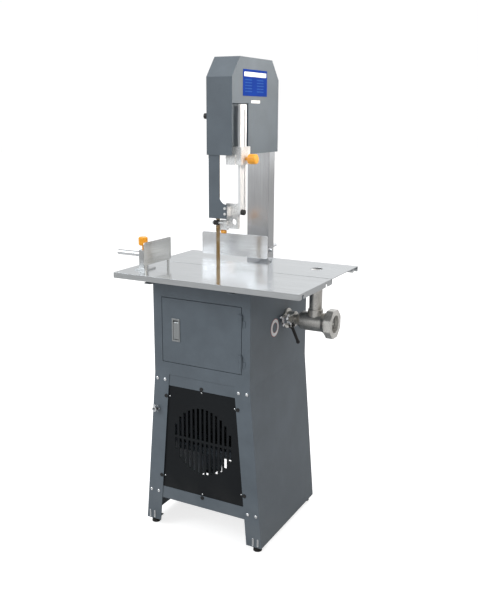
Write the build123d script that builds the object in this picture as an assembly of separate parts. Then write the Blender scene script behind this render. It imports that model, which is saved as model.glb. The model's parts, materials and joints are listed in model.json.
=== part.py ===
from build123d import *
import math
import os

# A floor-standing bone saw with a mincer on its right side.
# X runs to the operator's right, Y away from the operator, Z up. While the pieces are made, X = 0 and
# Y = 0 are the middle of the table and Z = 0 is the floor. They are moved once, when they are written,
# so that the origin is the middle of the whole machine's footprint.

# ---------------------------------------------------------------- clearances and stock, mm
SHEET = 2.0            # folded sheet of stand, cabinet, head and tables
GAP = 0.3              # between faces of bodies that move past each other
RUN = 0.05             # radial clearance of a shaft or pin in its bore
EDGE_GAP = 2.0         # gap round the cabinet door
FIT = 0.1              # clearance round the column where it passes through sheet metal

# ---------------------------------------------------------------- tables
TABLE_TOP = 924.0
TABLE_LENGTH = 650.0
TABLE_DEPTH = 482.0
TABLE_LIP = 18.0
BLADE_SLOT = 4.0       # gap between the sliding and the fixed table
ROD_R = 6.0            # slide rods and table stiffeners
ROD_DROP = 13.0        # table top down to a rod's axis
ROD_END = 7.0          # table end back to a rod's end
ROD_EDGE = 26.0        # outer rods in from the table's long edges
ROD_SLOT = 39.5        # front table's inner rod in from the blade
BAR_WIDTH = 20.0
BAR_HEIGHT = 14.0
FEED_X = 222.0         # feed neck of the mincer, from the table's middle

# ---------------------------------------------------------------- blade, wheels and drive
WHEEL_R = 125.0
WHEEL_WIDTH = 22.0
BLADE_WIDTH = 16.0
BLADE_THICK = 0.7
BLADE_X = -80.0
BLADE_Y = 4.5
LOWER_Z = 744.0
UPPER_Z = 1442.0
AXLE_R = 10.0
BEARING_R = 23.5
SHAFT_R = 12.5
DRIVEN_R = 100.0
MOTOR_PULLEY_R = 30.0
BELT_X = -10.0
BELT_WIDTH = 13.0
BELT_THICK = 8.0

# ---------------------------------------------------------------- cabinet and stand
CAB_LEFT = -244.0
CAB_RIGHT = 117.0
CAB_FRONT = -138.0
CAB_BACK = 294.0
CAB_BOTTOM = 571.0
DOOR_LEFT = -210.0
DOOR_RIGHT = 85.0
DOOR_BOTTOM = 616.0
DOOR_TOP = 834.0
SPLAY = 47.0           # how far each leg leans out at its foot
STAND_BOTTOM = 20.0
LEG_WIDTH = 57.0
TOP_RAIL = 39.0
LOW_RAIL_BOTTOM = 111.0
LOW_RAIL_TOP = 155.0
GRILLE_R = 118.0
GRILLE_X = -61.5
GRILLE_Z = 352.0
FOOT_R = 15.0
MOTOR_R = 70.0
SHELF_Z = 247.0

# ---------------------------------------------------------------- column and head
COL_LEFT = -99.0
COL_RIGHT = -14.0
COL_FRONT = 247.0
COL_DEPTH = 44.7
COL_BOTTOM = 600.0
HEAD_LEFT = -103.0
HEAD_RIGHT = -11.0
HEAD_FRONT = -25.0
HEAD_BACK = 306.0
HEAD_BOTTOM = 1290.0
HEAD_SHOULDER = 1529.0
HEAD_TOP = 1592.0
HEAD_CHAMFER = 52.0
RECESS_DEPTH = 12.0    # upright recess in the head's right wall, behind the guide bar
RECESS_BACK = 84.0
TENSION_TRAVEL = 12.0

# ---------------------------------------------------------------- upper guide, fence and pusher
BAR_X = -3.0           # middle of the flat guide bar
BAR_THICK = 8.0
BAR_FRONT = 8.0
BAR_DEPTH = 42.0
BAR_BOTTOM = 1100.0
BAR_LENGTH = 347.0
CLAMP_BOTTOM = 1260.0
CLAMP_HEIGHT = 56.0
GUARD_BOTTOM = 1088.0
GUARD_TOP = 1390.0
GUARD_WIDTH = 39.0
ROLLER_R = 8.0
KNOB_R = 16.0
FENCE_Y = 154.0
FENCE_LEFT = -230.0
FENCE_RIGHT = 29.0
FENCE_RAISE = 10.0
FENCE_HEIGHT = 79.0
FENCE_ROD_X = -45.0
FENCE_ROD_END = 370.0
PUSHER_X = -220.0
PUSHER_FRONT = -216.0
PUSHER_WIDTH = 152.0
PUSHER_RAISE = 26.0
PUSHER_HEIGHT = 73.0
HANDLE_END = -370.0
HANDLE_Y = -150.0
HANDLE_RAISE = 49.0
HANDLE_R = 8.5

# ---------------------------------------------------------------- mincer
SHANK_R = 18.0
BARREL_R = 31.8
BARREL_BORE = 29.5
BARREL_START = 165.0
BORE_START = 179.0
MOUTH_R = 41.0
MOUTH_START = 260.0
MOUTH_END = 280.0
RING_R = 51.0
RING_START = 270.0
RING_END = 294.0
RING_HOLE = 30.0
NECK_R = 21.5
NECK_WALL = 2.0
SOCKET_R = 26.0
SOCKET_END = 150.0
LUG_DEPTH = 52.0       # the clamp lug's front, from the shaft's axis

# ---------------------------------------------------------------- sizes that follow from the above
TABLE_RIGHT = TABLE_LENGTH / 2
TABLE_BACK = TABLE_DEPTH / 2
SLOT_FRONT = BLADE_Y - BLADE_SLOT / 2
SLOT_BACK = BLADE_Y + BLADE_SLOT / 2
ROD_Z = TABLE_TOP - ROD_DROP
BAR_TOP = ROD_Z - ROD_R - 6
CAB_TOP = BAR_TOP - BAR_HEIGHT
WHEEL_Y = BLADE_Y + BLADE_THICK / 2 + GAP + WHEEL_R
COL_BACK = COL_FRONT + COL_DEPTH
MOTOR_Z = SHELF_Z + SHEET + 12 + MOTOR_R
FRONT_RODS = (-TABLE_BACK + ROD_EDGE, BLADE_Y - ROD_SLOT)
BACK_RODS = (BLADE_Y + 14, TABLE_BACK - ROD_EDGE)
CROSS_BARS = (CAB_LEFT + 38, CAB_RIGHT - 22)
STAND_HEIGHT = CAB_BOTTOM - STAND_BOTTOM
ORIGIN = Vector((HANDLE_END + TABLE_RIGHT) / 2, (-TABLE_BACK + FENCE_ROD_END) / 2, 0)


# ---------------------------------------------------------------- helpers
def block(x, y, z):
    """A box from low and high limits along each axis."""
    size = Box(x[1] - x[0], y[1] - y[0], z[1] - z[0])
    return Pos((x[0] + x[1]) / 2, (y[0] + y[1]) / 2, (z[0] + z[1]) / 2) * size


def rod_x(x, y, z, r):
    return Pos((x[0] + x[1]) / 2, y, z) * Rot(0, 90, 0) * Cylinder(r, x[1] - x[0])


def rod_y(x, y, z, r):
    return Pos(x, (y[0] + y[1]) / 2, z) * Rot(90, 0, 0) * Cylinder(r, y[1] - y[0])


def rod_z(x, y, z, r):
    return Pos(x, y, (z[0] + z[1]) / 2) * Cylinder(r, z[1] - z[0])


def cone_x(x, y, z, r_start, r_end):
    """A cone along X, from radius r_start at x[0] to r_end at x[1]."""
    return Pos((x[0] + x[1]) / 2, y, z) * Rot(0, 90, 0) * Cone(r_start, r_end, x[1] - x[0])


def prism(points, direction):
    """A flat outline of 3-D points pushed along a direction."""
    outline = Wire.make_polygon([Vector(*point) for point in points], close=True)
    return Part(Solid.extrude(Face(outline), Vector(*direction)).wrapped)


def round_knob(x, y, z, r, length, dents):
    """A fluted knob along +X from x."""
    body = rod_x((x, x + length), y, z, r)
    rim = body.edges().filter_by(GeomType.CIRCLE)
    body = fillet(rim, r * 0.32)
    for k in range(dents):
        turn = 2 * math.pi * k / dents
        away = 1.12 * r
        dent_y, dent_z = y + away * math.cos(turn), z + away * math.sin(turn)
        body -= rod_x((x - 1, x + length + 1), dent_y, dent_z, r * 0.2)
    return body


def leg_x(side, z):
    """Outer face of a leaning stand side at height z. side is -1 left, +1 right."""
    foot = CAB_LEFT if side < 0 else CAB_RIGHT
    return foot + side * SPLAY * (CAB_BOTTOM - z) / STAND_HEIGHT


# ---------------------------------------------------------------- stand
def stand_side(side):
    """One leaning sheet wall with a front and a back flange and a foot fold."""
    top, low = leg_x(side, CAB_BOTTOM), leg_x(side, STAND_BOTTOM)
    inward = -side
    wall = [(top, CAB_BOTTOM), (low, STAND_BOTTOM), (low + inward * SHEET, STAND_BOTTOM),
            (top + inward * SHEET, CAB_BOTTOM)]
    flange = [(top, CAB_BOTTOM), (low, STAND_BOTTOM), (low + inward * LEG_WIDTH, STAND_BOTTOM),
              (top + inward * LEG_WIDTH, CAB_BOTTOM)]
    depth = CAB_BACK - CAB_FRONT
    panel = prism([(x, CAB_FRONT, z) for x, z in wall], (0, depth, 0))
    panel += prism([(x, CAB_FRONT, z) for x, z in flange], (0, SHEET, 0))
    panel += prism([(x, CAB_BACK - SHEET, z) for x, z in flange], (0, SHEET, 0))
    fold = sorted((low + inward * 0.5, low + inward * 42))
    for y in (CAB_FRONT, CAB_BACK - 40):
        panel += block(fold, (y, y + 40), (STAND_BOTTOM, STAND_BOTTOM + SHEET))
    return panel


def rail(low, high, front):
    """A flat rail between the legs."""
    inset = SHEET + 0.5
    y = CAB_FRONT + SHEET if front else CAB_BACK - 2 * SHEET
    corners = [(leg_x(-1, low) + inset, y, low), (leg_x(1, low) - inset, y, low),
               (leg_x(1, high) - inset, y, high), (leg_x(-1, high) + inset, y, high)]
    return prism(corners, (0, SHEET, 0))


def stand_rails():
    top = (CAB_BOTTOM - TOP_RAIL, CAB_BOTTOM - 0.2)
    low = (LOW_RAIL_BOTTOM, LOW_RAIL_TOP)
    return [rail(*span, front) for span in (top, low) for front in (True, False)]


def stand_bolts():
    """Dome bolts, two at each end of each rail, front and back."""
    bolts = []
    for z in (CAB_BOTTOM - TOP_RAIL / 2, (LOW_RAIL_BOTTOM + LOW_RAIL_TOP) / 2):
        for side in (-1, 1):
            for inset in (12.0, 42.0):
                x = leg_x(side, z) - side * inset
                for face, out in ((CAB_FRONT, -1), (CAB_BACK, 1)):
                    head = Pos(x, face, z) * Rot(-90 * out, 0, 0) * Cone(6.0, 3.5, 3.5)
                    bolts.append(Pos(0, out * 1.75, 0) * head)
    return bolts


def panel_edge(side, z):
    """Edge of the opening between the legs at height z."""
    return leg_x(side, z) - side * LEG_WIDTH


def panel_blank(y):
    """The sheet that closes the opening between legs and rails."""
    low, high, lap = LOW_RAIL_TOP - 12, CAB_BOTTOM - TOP_RAIL + 12, 12
    corners = [(panel_edge(-1, low) - lap, y, low), (panel_edge(1, low) + lap, y, low),
               (panel_edge(1, high) + lap, y, high), (panel_edge(-1, high) - lap, y, high)]
    return prism(corners, (0, SHEET, 0))


def fan_panel():
    """Black front panel with a round field of upright slots, split by a middle bar."""
    y = CAB_FRONT + 2 * SHEET
    panel = panel_blank(y)
    pitch, slot, middle_bar, count = 17.4, 9.0, 9.0, 13
    for k in range(count):
        offset = (k - (count - 1) / 2) * pitch
        reach = math.sqrt(GRILLE_R ** 2 - (abs(offset) + slot / 2) ** 2)
        x = GRILLE_X + offset
        for sign in (-1, 1):
            z = sorted((GRILLE_Z + sign * middle_bar / 2, GRILLE_Z + sign * reach))
            panel -= block((x - slot / 2, x + slot / 2), (y - 1, y + SHEET + 1), z)
    return panel


def back_panel():
    """Plain back panel with three rows of vent slots."""
    y = CAB_BACK - 3 * SHEET
    panel = panel_blank(y)
    for row in range(3):
        for k in range(9):
            x, z = GRILLE_X + (k - 4) * 22, GRILLE_Z - 60 + row * 60
            panel -= block((x - 4.5, x + 4.5), (y - 1, y + SHEET + 1), (z - 22, z + 22))
    return panel


def clip_places():
    """Where the six panel clips sit on the opening's edge: x, z and the way to the panel."""
    high, low = CAB_BOTTOM - TOP_RAIL, LOW_RAIL_TOP
    middle_top = (panel_edge(-1, high) + panel_edge(1, high)) / 2
    places = [(middle_top, high, (0, -1)), (middle_top, low, (0, 1))]
    for z in (high - 38, low + 42):
        places += [(panel_edge(side, z), z, (-side, 0)) for side in (-1, 1)]
    return places


def panel_clips():
    y = CAB_FRONT - 3
    return [rod_y(x, (y, CAB_FRONT), z, 6.5) for x, z, _ in
            [(x - way[0] * 6.8, z - way[1] * 6.8, way) for x, z, way in clip_places()[2:]]]


def rail_clips():
    """The two clips on the rails, which lie one sheet further back than the legs."""
    y = CAB_FRONT + SHEET
    return [rod_y(x, (y - 3, y), z - way[1] * 6.8, 6.5) for x, z, way in clip_places()[:2]]


def clip_screws():
    """Small screws beside each clip, on the panel."""
    y = CAB_FRONT + 2 * SHEET
    return [rod_y(x + way[0] * 6, (y - 2.2, y), z + way[1] * 6, 3.0) for x, z, way in clip_places()]


def foot_places():
    inset = 9 + FOOT_R
    return [(leg_x(side, STAND_BOTTOM) - side * inset, y) for side in (-1, 1)
            for y in (CAB_FRONT + 20, CAB_BACK - 20)]


def rubber_feet():
    feet = []
    for x, y in foot_places():
        foot = rod_z(x, y, (0, STAND_BOTTOM), FOOT_R)
        feet.append(fillet(foot.edges().group_by(Axis.Z)[0], 3))
    return feet


def foot_straps():
    """Two upright slotted straps at the foot of each front leg."""
    straps = []
    for side in (-1, 1):
        for inset in (12.0, 30.0):
            x = leg_x(side, STAND_BOTTOM + 18) - side * inset
            z = (STAND_BOTTOM + 4, STAND_BOTTOM + 32)
            strap = block((x - 3.5, x + 3.5), (CAB_FRONT - 2, CAB_FRONT), z)
            straps.append(fillet(strap.edges().filter_by(Axis.Y), 3))
    return straps


def motor_shelf():
    """Folded shelf across the stand that carries the motor."""
    left, right = leg_x(-1, SHELF_Z) + SHEET + 1, leg_x(1, SHELF_Z) - SHEET - 1
    y = (WHEEL_Y - 100, WHEEL_Y + 100)
    shelf = block((left, right), y, (SHELF_Z, SHELF_Z + SHEET))
    for front in (y[0], y[1] - SHEET):
        shelf += block((left + 6, right - 6), (front, front + SHEET), (SHELF_Z - 25, SHELF_Z))
    return shelf


def motor():
    """Motor casing with end bells, cooling ribs, a foot and a terminal box."""
    start, end = BELT_X - 205, BELT_X - 30
    casing = rod_x((start + 20, end - 12), WHEEL_Y, MOTOR_Z, MOTOR_R - 6)
    for k in range(18):
        turn = 360 / 18 * k
        rib = block((start + 24, end - 16), (-1.5, 1.5), (MOTOR_R - 8, MOTOR_R - 0.5))
        casing += Pos(0, WHEEL_Y, MOTOR_Z) * Rot(turn, 0, 0) * rib
    casing += rod_x((start, start + 24), WHEEL_Y, MOTOR_Z, MOTOR_R - 0.5)
    casing += cone_x((end - 14, end), WHEEL_Y, MOTOR_Z, MOTOR_R - 4, 34)
    seat = SHELF_Z + SHEET
    casing += block((start + 40, end - 30), (WHEEL_Y - 55, WHEEL_Y + 55), (seat, seat + 10))
    casing += block((start + 55, end - 45), (WHEEL_Y - 22, WHEEL_Y + 22), (seat, MOTOR_Z - 50))
    casing += block((start + 50, end - 50), (WHEEL_Y - 105, WHEEL_Y - 55), (MOTOR_Z + 5, MOTOR_Z + 55))
    return casing - rod_x((end - 60, end + 1), WHEEL_Y, MOTOR_Z, 9.5 + RUN)


def cable_gland():
    """Metal gland on the left leg; the mains lead would leave through it."""
    z = STAND_BOTTOM + 424
    x = leg_x(-1, z) + 17
    face = CAB_FRONT
    gland = Pos(x, face - 4, z) * Rot(90, 0, 0) * extrude(RegularPolygon(13.5, 6), 4, both=True)
    gland += Pos(x, face - 14, z) * Rot(90, 0, 0) * Cone(12, 8.5, 12)
    return gland - rod_y(x, (face - 30, face - 2), z, 5)


# ---------------------------------------------------------------- cabinet
def hinge_fixed(x, y, z, leaf):
    """Pin and lower knuckle of a small hinge. leaf is a block that ties it to its panel."""
    return leaf + rod_z(x, y, (z, z + 20), 4) + rod_z(x, y, (z, z + 42), 2)


def hinge_moving(x, y, z, leaf):
    knuckle = leaf + rod_z(x, y, (z + 20 + GAP, z + 40), 4)
    return knuckle - rod_z(x, y, (z, z + 50), 2 + RUN)


def cabinet_body():
    """Folded box with a door opening and holes for blade, column, belt, guide and mincer shaft."""
    x, y, z = (CAB_LEFT, CAB_RIGHT), (CAB_FRONT, CAB_BACK), (CAB_BOTTOM, CAB_TOP)
    body = block(x, y, z)
    body -= block((x[0] + SHEET, x[1] - SHEET), (y[0] + SHEET, y[1] - SHEET), (z[0] + SHEET, z[1] - SHEET))
    body -= block((DOOR_LEFT - EDGE_GAP, DOOR_RIGHT + EDGE_GAP), (y[0] - 1, y[0] + SHEET + 1),
                  (DOOR_BOTTOM - EDGE_GAP, DOOR_TOP + EDGE_GAP))
    roof = (z[1] - SHEET - 1, z[1] + 1)
    body -= block((COL_LEFT - FIT, COL_RIGHT + FIT), (COL_FRONT - FIT, COL_BACK + FIT), roof)
    body -= block((BLADE_X - 22, BLADE_X + 22), (BLADE_Y - 12, BLADE_Y + 18), roof)
    body -= block((BELT_X - 16, BELT_X + 16), (WHEEL_Y - 100, WHEEL_Y + 100), (z[0] - 1, z[0] + SHEET + 1))
    body -= rod_x((x[1] - SHEET - 1, x[1] + 1), WHEEL_Y, LOWER_Z, SHANK_R + 4)
    return body


def door_stop():
    """Folded frame behind the door's edge, on three sides."""
    y = (CAB_FRONT + SHEET + 14, CAB_FRONT + SHEET + 16)
    left, right = DOOR_LEFT - EDGE_GAP, DOOR_RIGHT + EDGE_GAP
    low, high = DOOR_BOTTOM - EDGE_GAP, DOOR_TOP + EDGE_GAP
    frame = block((left - 2, right + 2), (CAB_FRONT + SHEET, y[1]), (low - 2, high + 2))
    frame -= block((left, right), (CAB_FRONT, y[0]), (low, high))
    return frame - block((left + 12, right - 12), (CAB_FRONT, y[1] + 1), (low + 12, high - 12))


DOOR_HINGE_X = DOOR_RIGHT + EDGE_GAP / 2
DOOR_HINGE_Y = CAB_FRONT - 4
DOOR_HINGE_Z = (DOOR_BOTTOM + 22, DOOR_TOP - 62)
LATCH_X = DOOR_LEFT + 53
LATCH_Z = (DOOR_BOTTOM + 74, DOOR_BOTTOM + 152)
LATCH_PIVOT_Y = CAB_FRONT + 3
LATCH_PIVOT_Z = LATCH_Z[1] - 14


def door_hinges():
    fixed = []
    for z in DOOR_HINGE_Z:
        leaf = block((DOOR_HINGE_X, DOOR_HINGE_X + 14), (CAB_FRONT - 1.5, CAB_FRONT), (z, z + 20))
        fixed.append(hinge_fixed(DOOR_HINGE_X, DOOR_HINGE_Y + 0.1, z, leaf))
    return fixed


def cabinet_door():
    """Sheet door with folded edges, a latch pocket and its hinge knuckles."""
    x, z = (DOOR_LEFT, DOOR_RIGHT), (DOOR_BOTTOM, DOOR_TOP)
    door = block(x, (CAB_FRONT, CAB_FRONT + 12), z)
    hollow = (z[0] + SHEET, z[1] - SHEET)
    door -= block((x[0] + SHEET, x[1] - SHEET), (CAB_FRONT + SHEET, CAB_FRONT + 13), hollow)
    pocket = (LATCH_Z[0] + 4, LATCH_Z[1] - 4)
    door -= block((LATCH_X - 12, LATCH_X + 12), (CAB_FRONT - 1, CAB_FRONT + 3), pocket)
    for low in DOOR_HINGE_Z:
        span = (low + 20 + GAP, low + 40)
        leaf = block((DOOR_HINGE_X - 16, DOOR_HINGE_X), (CAB_FRONT - 1.5, CAB_FRONT), span)
        door += hinge_moving(DOOR_HINGE_X, DOOR_HINGE_Y + 0.1, low, leaf)
    return door


def latch_plate():
    """Flush tray that the latch paddle lies in."""
    tray = block((LATCH_X - 15, LATCH_X + 15), (CAB_FRONT - 2, CAB_FRONT), LATCH_Z)
    outer, inner = (LATCH_Z[0] + 4, LATCH_Z[1] - 4), (LATCH_Z[0] + 6, LATCH_Z[1] - 6)
    tray += block((LATCH_X - 12, LATCH_X + 12), (CAB_FRONT - 1, CAB_FRONT + 10), outer)
    tray -= block((LATCH_X - 10, LATCH_X + 10), (CAB_FRONT - 3, CAB_FRONT + 8), inner)
    return tray - rod_x((LATCH_X - 12, LATCH_X + 12), LATCH_PIVOT_Y, LATCH_PIVOT_Z, 1.2 + RUN)


def latch_paddle():
    """Pull-out paddle that hinges at its top."""
    x, z = (LATCH_X - 9.5, LATCH_X + 9.5), (LATCH_Z[0] + 8, LATCH_PIVOT_Z)
    paddle = block(x, (CAB_FRONT - 1, CAB_FRONT + 1.5), z)
    paddle += rod_x(x, LATCH_PIVOT_Y, LATCH_PIVOT_Z, 3)
    paddle += rod_x((LATCH_X - 11.5, LATCH_X + 11.5), LATCH_PIVOT_Y, LATCH_PIVOT_Z, 1.2)
    return paddle


def scrap_tray():
    """Open tray for bone dust under the lower wheel."""
    x, y = (CAB_LEFT + 30, BELT_X - 22), (CAB_FRONT + 30, COL_FRONT - 12)
    z = (CAB_BOTTOM + SHEET, CAB_BOTTOM + SHEET + 34)
    tray = block(x, y, z)
    return tray - block((x[0] + 1.5, x[1] - 1.5), (y[0] + 1.5, y[1] - 1.5), (z[0] + 1.5, z[1] + 1))


SWITCH_Y = 40.0
SWITCH_Z = 760.0
SWITCH_DEPTH = 46.0
BUTTON_TRAVEL = 4.0


def switch_box():
    x = (CAB_LEFT - SWITCH_DEPTH, CAB_LEFT)
    box = block(x, (SWITCH_Y - 32, SWITCH_Y + 32), (SWITCH_Z - 52, SWITCH_Z + 52))
    box = fillet(box.edges().filter_by(Axis.X), 6)
    for z, r in ((SWITCH_Z + 24, 11), (SWITCH_Z - 22, 15)):
        box -= rod_x((x[0] - 1, x[0] + 14), SWITCH_Y, z, r + GAP)
    return box


def button(z, r, proud):
    """Push button in its well; it travels BUTTON_TRAVEL along +X."""
    face = CAB_LEFT - SWITCH_DEPTH
    cap = rod_x((face - proud, face + 14 - BUTTON_TRAVEL - 1), SWITCH_Y, z, r)
    return fillet(cap.edges().group_by(Axis.X)[0], 1.5)


# ---------------------------------------------------------------- drive
def drive_housing():
    """Cast sleeve on the cabinet's right wall that holds the lower shaft's two bearings."""
    inner = CAB_RIGHT - SHEET
    sleeve = rod_x((BELT_X + 30, inner), WHEEL_Y, LOWER_Z, 36)
    sleeve += rod_x((inner - 10, inner), WHEEL_Y, LOWER_Z, 62)
    sleeve -= rod_x((BELT_X + 29, inner + 1), WHEEL_Y, LOWER_Z, 20)
    for start in (BELT_X + 29, inner - 15):
        sleeve -= rod_x((start, start + 16), WHEEL_Y, LOWER_Z, 26)
    return sleeve


def drive_bearings():
    inner = CAB_RIGHT - SHEET
    rings = []
    for start in (BELT_X + 30, inner - 15):
        ring = rod_x((start, start + 15), WHEEL_Y, LOWER_Z, 26)
        rings.append(ring - rod_x((start - 1, start + 16), WHEEL_Y, LOWER_Z, SHAFT_R + RUN))
    return rings


def wheel(z, hub_r, bore):
    """Flanged band wheel with six lightening holes."""
    x = (BLADE_X - WHEEL_WIDTH / 2, BLADE_X + WHEEL_WIDTH / 2)
    disc = rod_x(x, WHEEL_Y, z, WHEEL_R)
    for start, end in ((x[0] - 1, BLADE_X - 4), (BLADE_X + 4, x[1] + 1)):
        disc -= rod_x((start, end), WHEEL_Y, z, WHEEL_R - 12)
    disc += rod_x((BLADE_X - 17, BLADE_X + 17), WHEEL_Y, z, hub_r)
    for k in range(6):
        turn = math.radians(60 * k)
        disc -= rod_x(x, WHEEL_Y + 74 * math.cos(turn), z + 74 * math.sin(turn), 24)
    return disc - rod_x((BLADE_X - 20, BLADE_X + 20), WHEEL_Y, z, bore)


def lower_shaft():
    """Shaft from the lower wheel through the wall to the mincer, with a square driving end."""
    shaft = rod_x((BLADE_X - 24, SOCKET_END - 22), WHEEL_Y, LOWER_Z, SHAFT_R)
    square = (WHEEL_Y - 6, WHEEL_Y + 6)
    return shaft + block((SOCKET_END - 23, SOCKET_END), square, (LOWER_Z - 6, LOWER_Z + 6))


def pulley(z, r, bore):
    """Belt pulley with two flanges; the belt runs a running gap outside its rim."""
    half = BELT_WIDTH / 2
    body = rod_x((BELT_X - half - 4, BELT_X + half + 4), WHEEL_Y, z, r - GAP)
    for side in (-1, 1):
        x = sorted((BELT_X + side * (half + 1), BELT_X + side * (half + 4)))
        body += rod_x(x, WHEEL_Y, z, r + 5)
    return body - rod_x((BELT_X - 20, BELT_X + 20), WHEEL_Y, z, bore)


def loop_around(x, centres, growth):
    """Solid inside a loop round circles (z, r) in the wheels' plane, grown outwards."""
    rings = [Pos(WHEEL_Y, z) * Circle(r + growth) for z, r in centres]
    face = make_hull(rings[0].edges() + rings[1].edges())
    upright = Plane(origin=(x[0], 0, 0), x_dir=(0, 1, 0), z_dir=(1, 0, 0))
    return extrude(upright * face, x[1] - x[0])


def saw_blade():
    centres = ((LOWER_Z, WHEEL_R + GAP), (UPPER_Z, WHEEL_R + GAP))
    x = (BLADE_X - BLADE_WIDTH / 2, BLADE_X + BLADE_WIDTH / 2)
    inside = loop_around((x[0] - 1, x[1] + 1), centres, 0)
    return loop_around(x, centres, BLADE_THICK) - inside


def drive_belt():
    centres = ((LOWER_Z, DRIVEN_R), (MOTOR_Z, MOTOR_PULLEY_R))
    x = (BELT_X - BELT_WIDTH / 2, BELT_X + BELT_WIDTH / 2)
    inside = loop_around((x[0] - 1, x[1] + 1), centres, 0)
    return loop_around(x, centres, BELT_THICK) - inside


def motor_pulley():
    """Pulley keyed on the motor's own shaft."""
    return pulley(MOTOR_Z, MOTOR_PULLEY_R, 9.5) + rod_x((BELT_X - 80, BELT_X + 14), WHEEL_Y, MOTOR_Z, 9.5)


# ---------------------------------------------------------------- tables and slide
def cross_bars():
    """Two bars across the cabinet's top that carry the rods, thinner towards their front ends."""
    y = (-TABLE_BACK + ROD_EDGE - 10, TABLE_BACK - 4)
    half = BAR_WIDTH / 2
    side = [(y[0], BAR_TOP - 4), (CAB_FRONT, CAB_TOP), (y[1], CAB_TOP), (y[1], BAR_TOP), (y[0], BAR_TOP)]
    return [prism([(x - half, *corner) for corner in side], (2 * half, 0, 0)) for x in CROSS_BARS]


def saddles():
    """Narrow seats between bars and rods, hollowed to the rod."""
    seats = []
    for x in CROSS_BARS:
        for y in FRONT_RODS + BACK_RODS:
            seat = block((x - 8, x + 8), (y - 3, y + 3), (BAR_TOP, ROD_Z - ROD_R + 1.5))
            seats.append(seat - rod_x((x - 9, x + 9), y, ROD_Z, ROD_R))
    return seats


def rods(places):
    end = TABLE_RIGHT - ROD_END
    return [rod_x((-end, end), y, ROD_Z, ROD_R) for y in places]


def table_pan(y):
    """Flat table with a lip folded down on all four sides."""
    x, z = (-TABLE_RIGHT, TABLE_RIGHT), (TABLE_TOP - TABLE_LIP, TABLE_TOP)
    pan = block(x, y, z)
    pan = fillet(pan.edges().filter_by(Axis.Z), 2)
    return pan - block((x[0] + SHEET, x[1] - SHEET), (y[0] + SHEET, y[1] - SHEET), (z[0] - 1, z[1] - SHEET))


def sliding_table():
    """Front table; its end lips are notched for the rods."""
    pan = table_pan((-TABLE_BACK, SLOT_FRONT))
    for y in FRONT_RODS:
        notch = (TABLE_TOP - TABLE_LIP - 1, ROD_Z + ROD_R + 1)
        pan -= block((-TABLE_RIGHT - 1, TABLE_RIGHT + 1), (y - 7, y + 7), notch)
    return pan


def slide_blocks():
    """Four blocks under the sliding table that run on the front rods, open below for the saddles."""
    blocks = []
    for x in (-62.0, 120.0):
        for y in FRONT_RODS:
            low, high = ROD_Z - ROD_R - 3, TABLE_TOP - SHEET
            piece = block((x - 20, x + 20), (y - 12, y + 12), (low, high))
            piece -= rod_x((x - 21, x + 21), y, ROD_Z, ROD_R + RUN)
            blocks.append(piece - block((x - 21, x + 21), (y - 4, y + 4), (low - 1, ROD_Z)))
    return blocks


def fixed_table():
    """Back table with the mincer's feed hole; its right end is open, so that it can be washed out."""
    pan = table_pan((SLOT_BACK, TABLE_BACK))
    pan -= rod_z(FEED_X, WHEEL_Y, (TABLE_TOP - SHEET - 1, TABLE_TOP + 1), NECK_R - NECK_WALL)
    notch = (TABLE_TOP - TABLE_LIP - 1, ROD_Z + ROD_R + 1)
    for y in BACK_RODS:
        pan -= block((-TABLE_RIGHT - 1, -TABLE_RIGHT + SHEET + 1), (y - 7, y + 7), notch)
    inside = (SLOT_BACK + SHEET, TABLE_BACK - SHEET)
    return pan - block((TABLE_RIGHT - SHEET - 1, TABLE_RIGHT + 1), inside, (notch[0], TABLE_TOP - SHEET))


def table_posts():
    """Short posts that seat the fixed table on its rods."""
    posts = []
    for x in CROSS_BARS:
        for y in BACK_RODS:
            post = block((x - 10, x + 10), (y - 5, y + 5), (ROD_Z, TABLE_TOP - SHEET))
            posts.append(post - rod_x((x - 11, x + 11), y, ROD_Z, ROD_R))
    return posts


def lower_guide():
    """Block under the tables with a slot that steadies the blade."""
    x = (BLADE_X - 18, BLADE_X + 18)
    top = CAB_TOP - SHEET
    guide = block((x[0] - 12, x[1] + 12), (BLADE_Y - 22, BLADE_Y + 26), (top - 3, top))
    guide += block(x, (BLADE_Y - 10, BLADE_Y + 16), (top - 26, top - 3))
    slot = BLADE_THICK / 2 + 0.4
    half = BLADE_WIDTH / 2 + 1
    y = (BLADE_Y - slot, BLADE_Y + slot)
    return guide - block((BLADE_X - half, x[1] + 13), y, (CAB_TOP - 60, CAB_TOP))


# ---------------------------------------------------------------- pusher and fence
def pusher_block():
    """Upright block on the sliding table that the pusher's rod slides through."""
    x = PUSHER_X - 50
    z = (TABLE_TOP, TABLE_TOP + HANDLE_RAISE + 15)
    piece = block((x - 9, x + 9), (HANDLE_Y - 13, HANDLE_Y + 13), z)
    piece += block((x - 20, x + 26), (HANDLE_Y - 22, HANDLE_Y + 30), (TABLE_TOP, TABLE_TOP + 5))
    piece -= rod_x((x - 13, x + 13), HANDLE_Y, TABLE_TOP + HANDLE_RAISE, HANDLE_R + RUN)
    return piece - rod_z(x, HANDLE_Y, (TABLE_TOP + HANDLE_RAISE, TABLE_TOP + HANDLE_RAISE + 17), 4 + RUN)


def pusher_knob():
    """Orange clamp knob on top of the block, with its screw."""
    neck = 29.0
    base = TABLE_TOP + HANDLE_RAISE + neck
    knob = Rot(0, -90, 0) * round_knob(0, 0, 0, KNOB_R - 1, 28, 8)
    knob += rod_z(0, 0, (HANDLE_R + GAP - neck, 1), 4)
    return Pos(PUSHER_X - 50, HANDLE_Y, base) * knob


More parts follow.
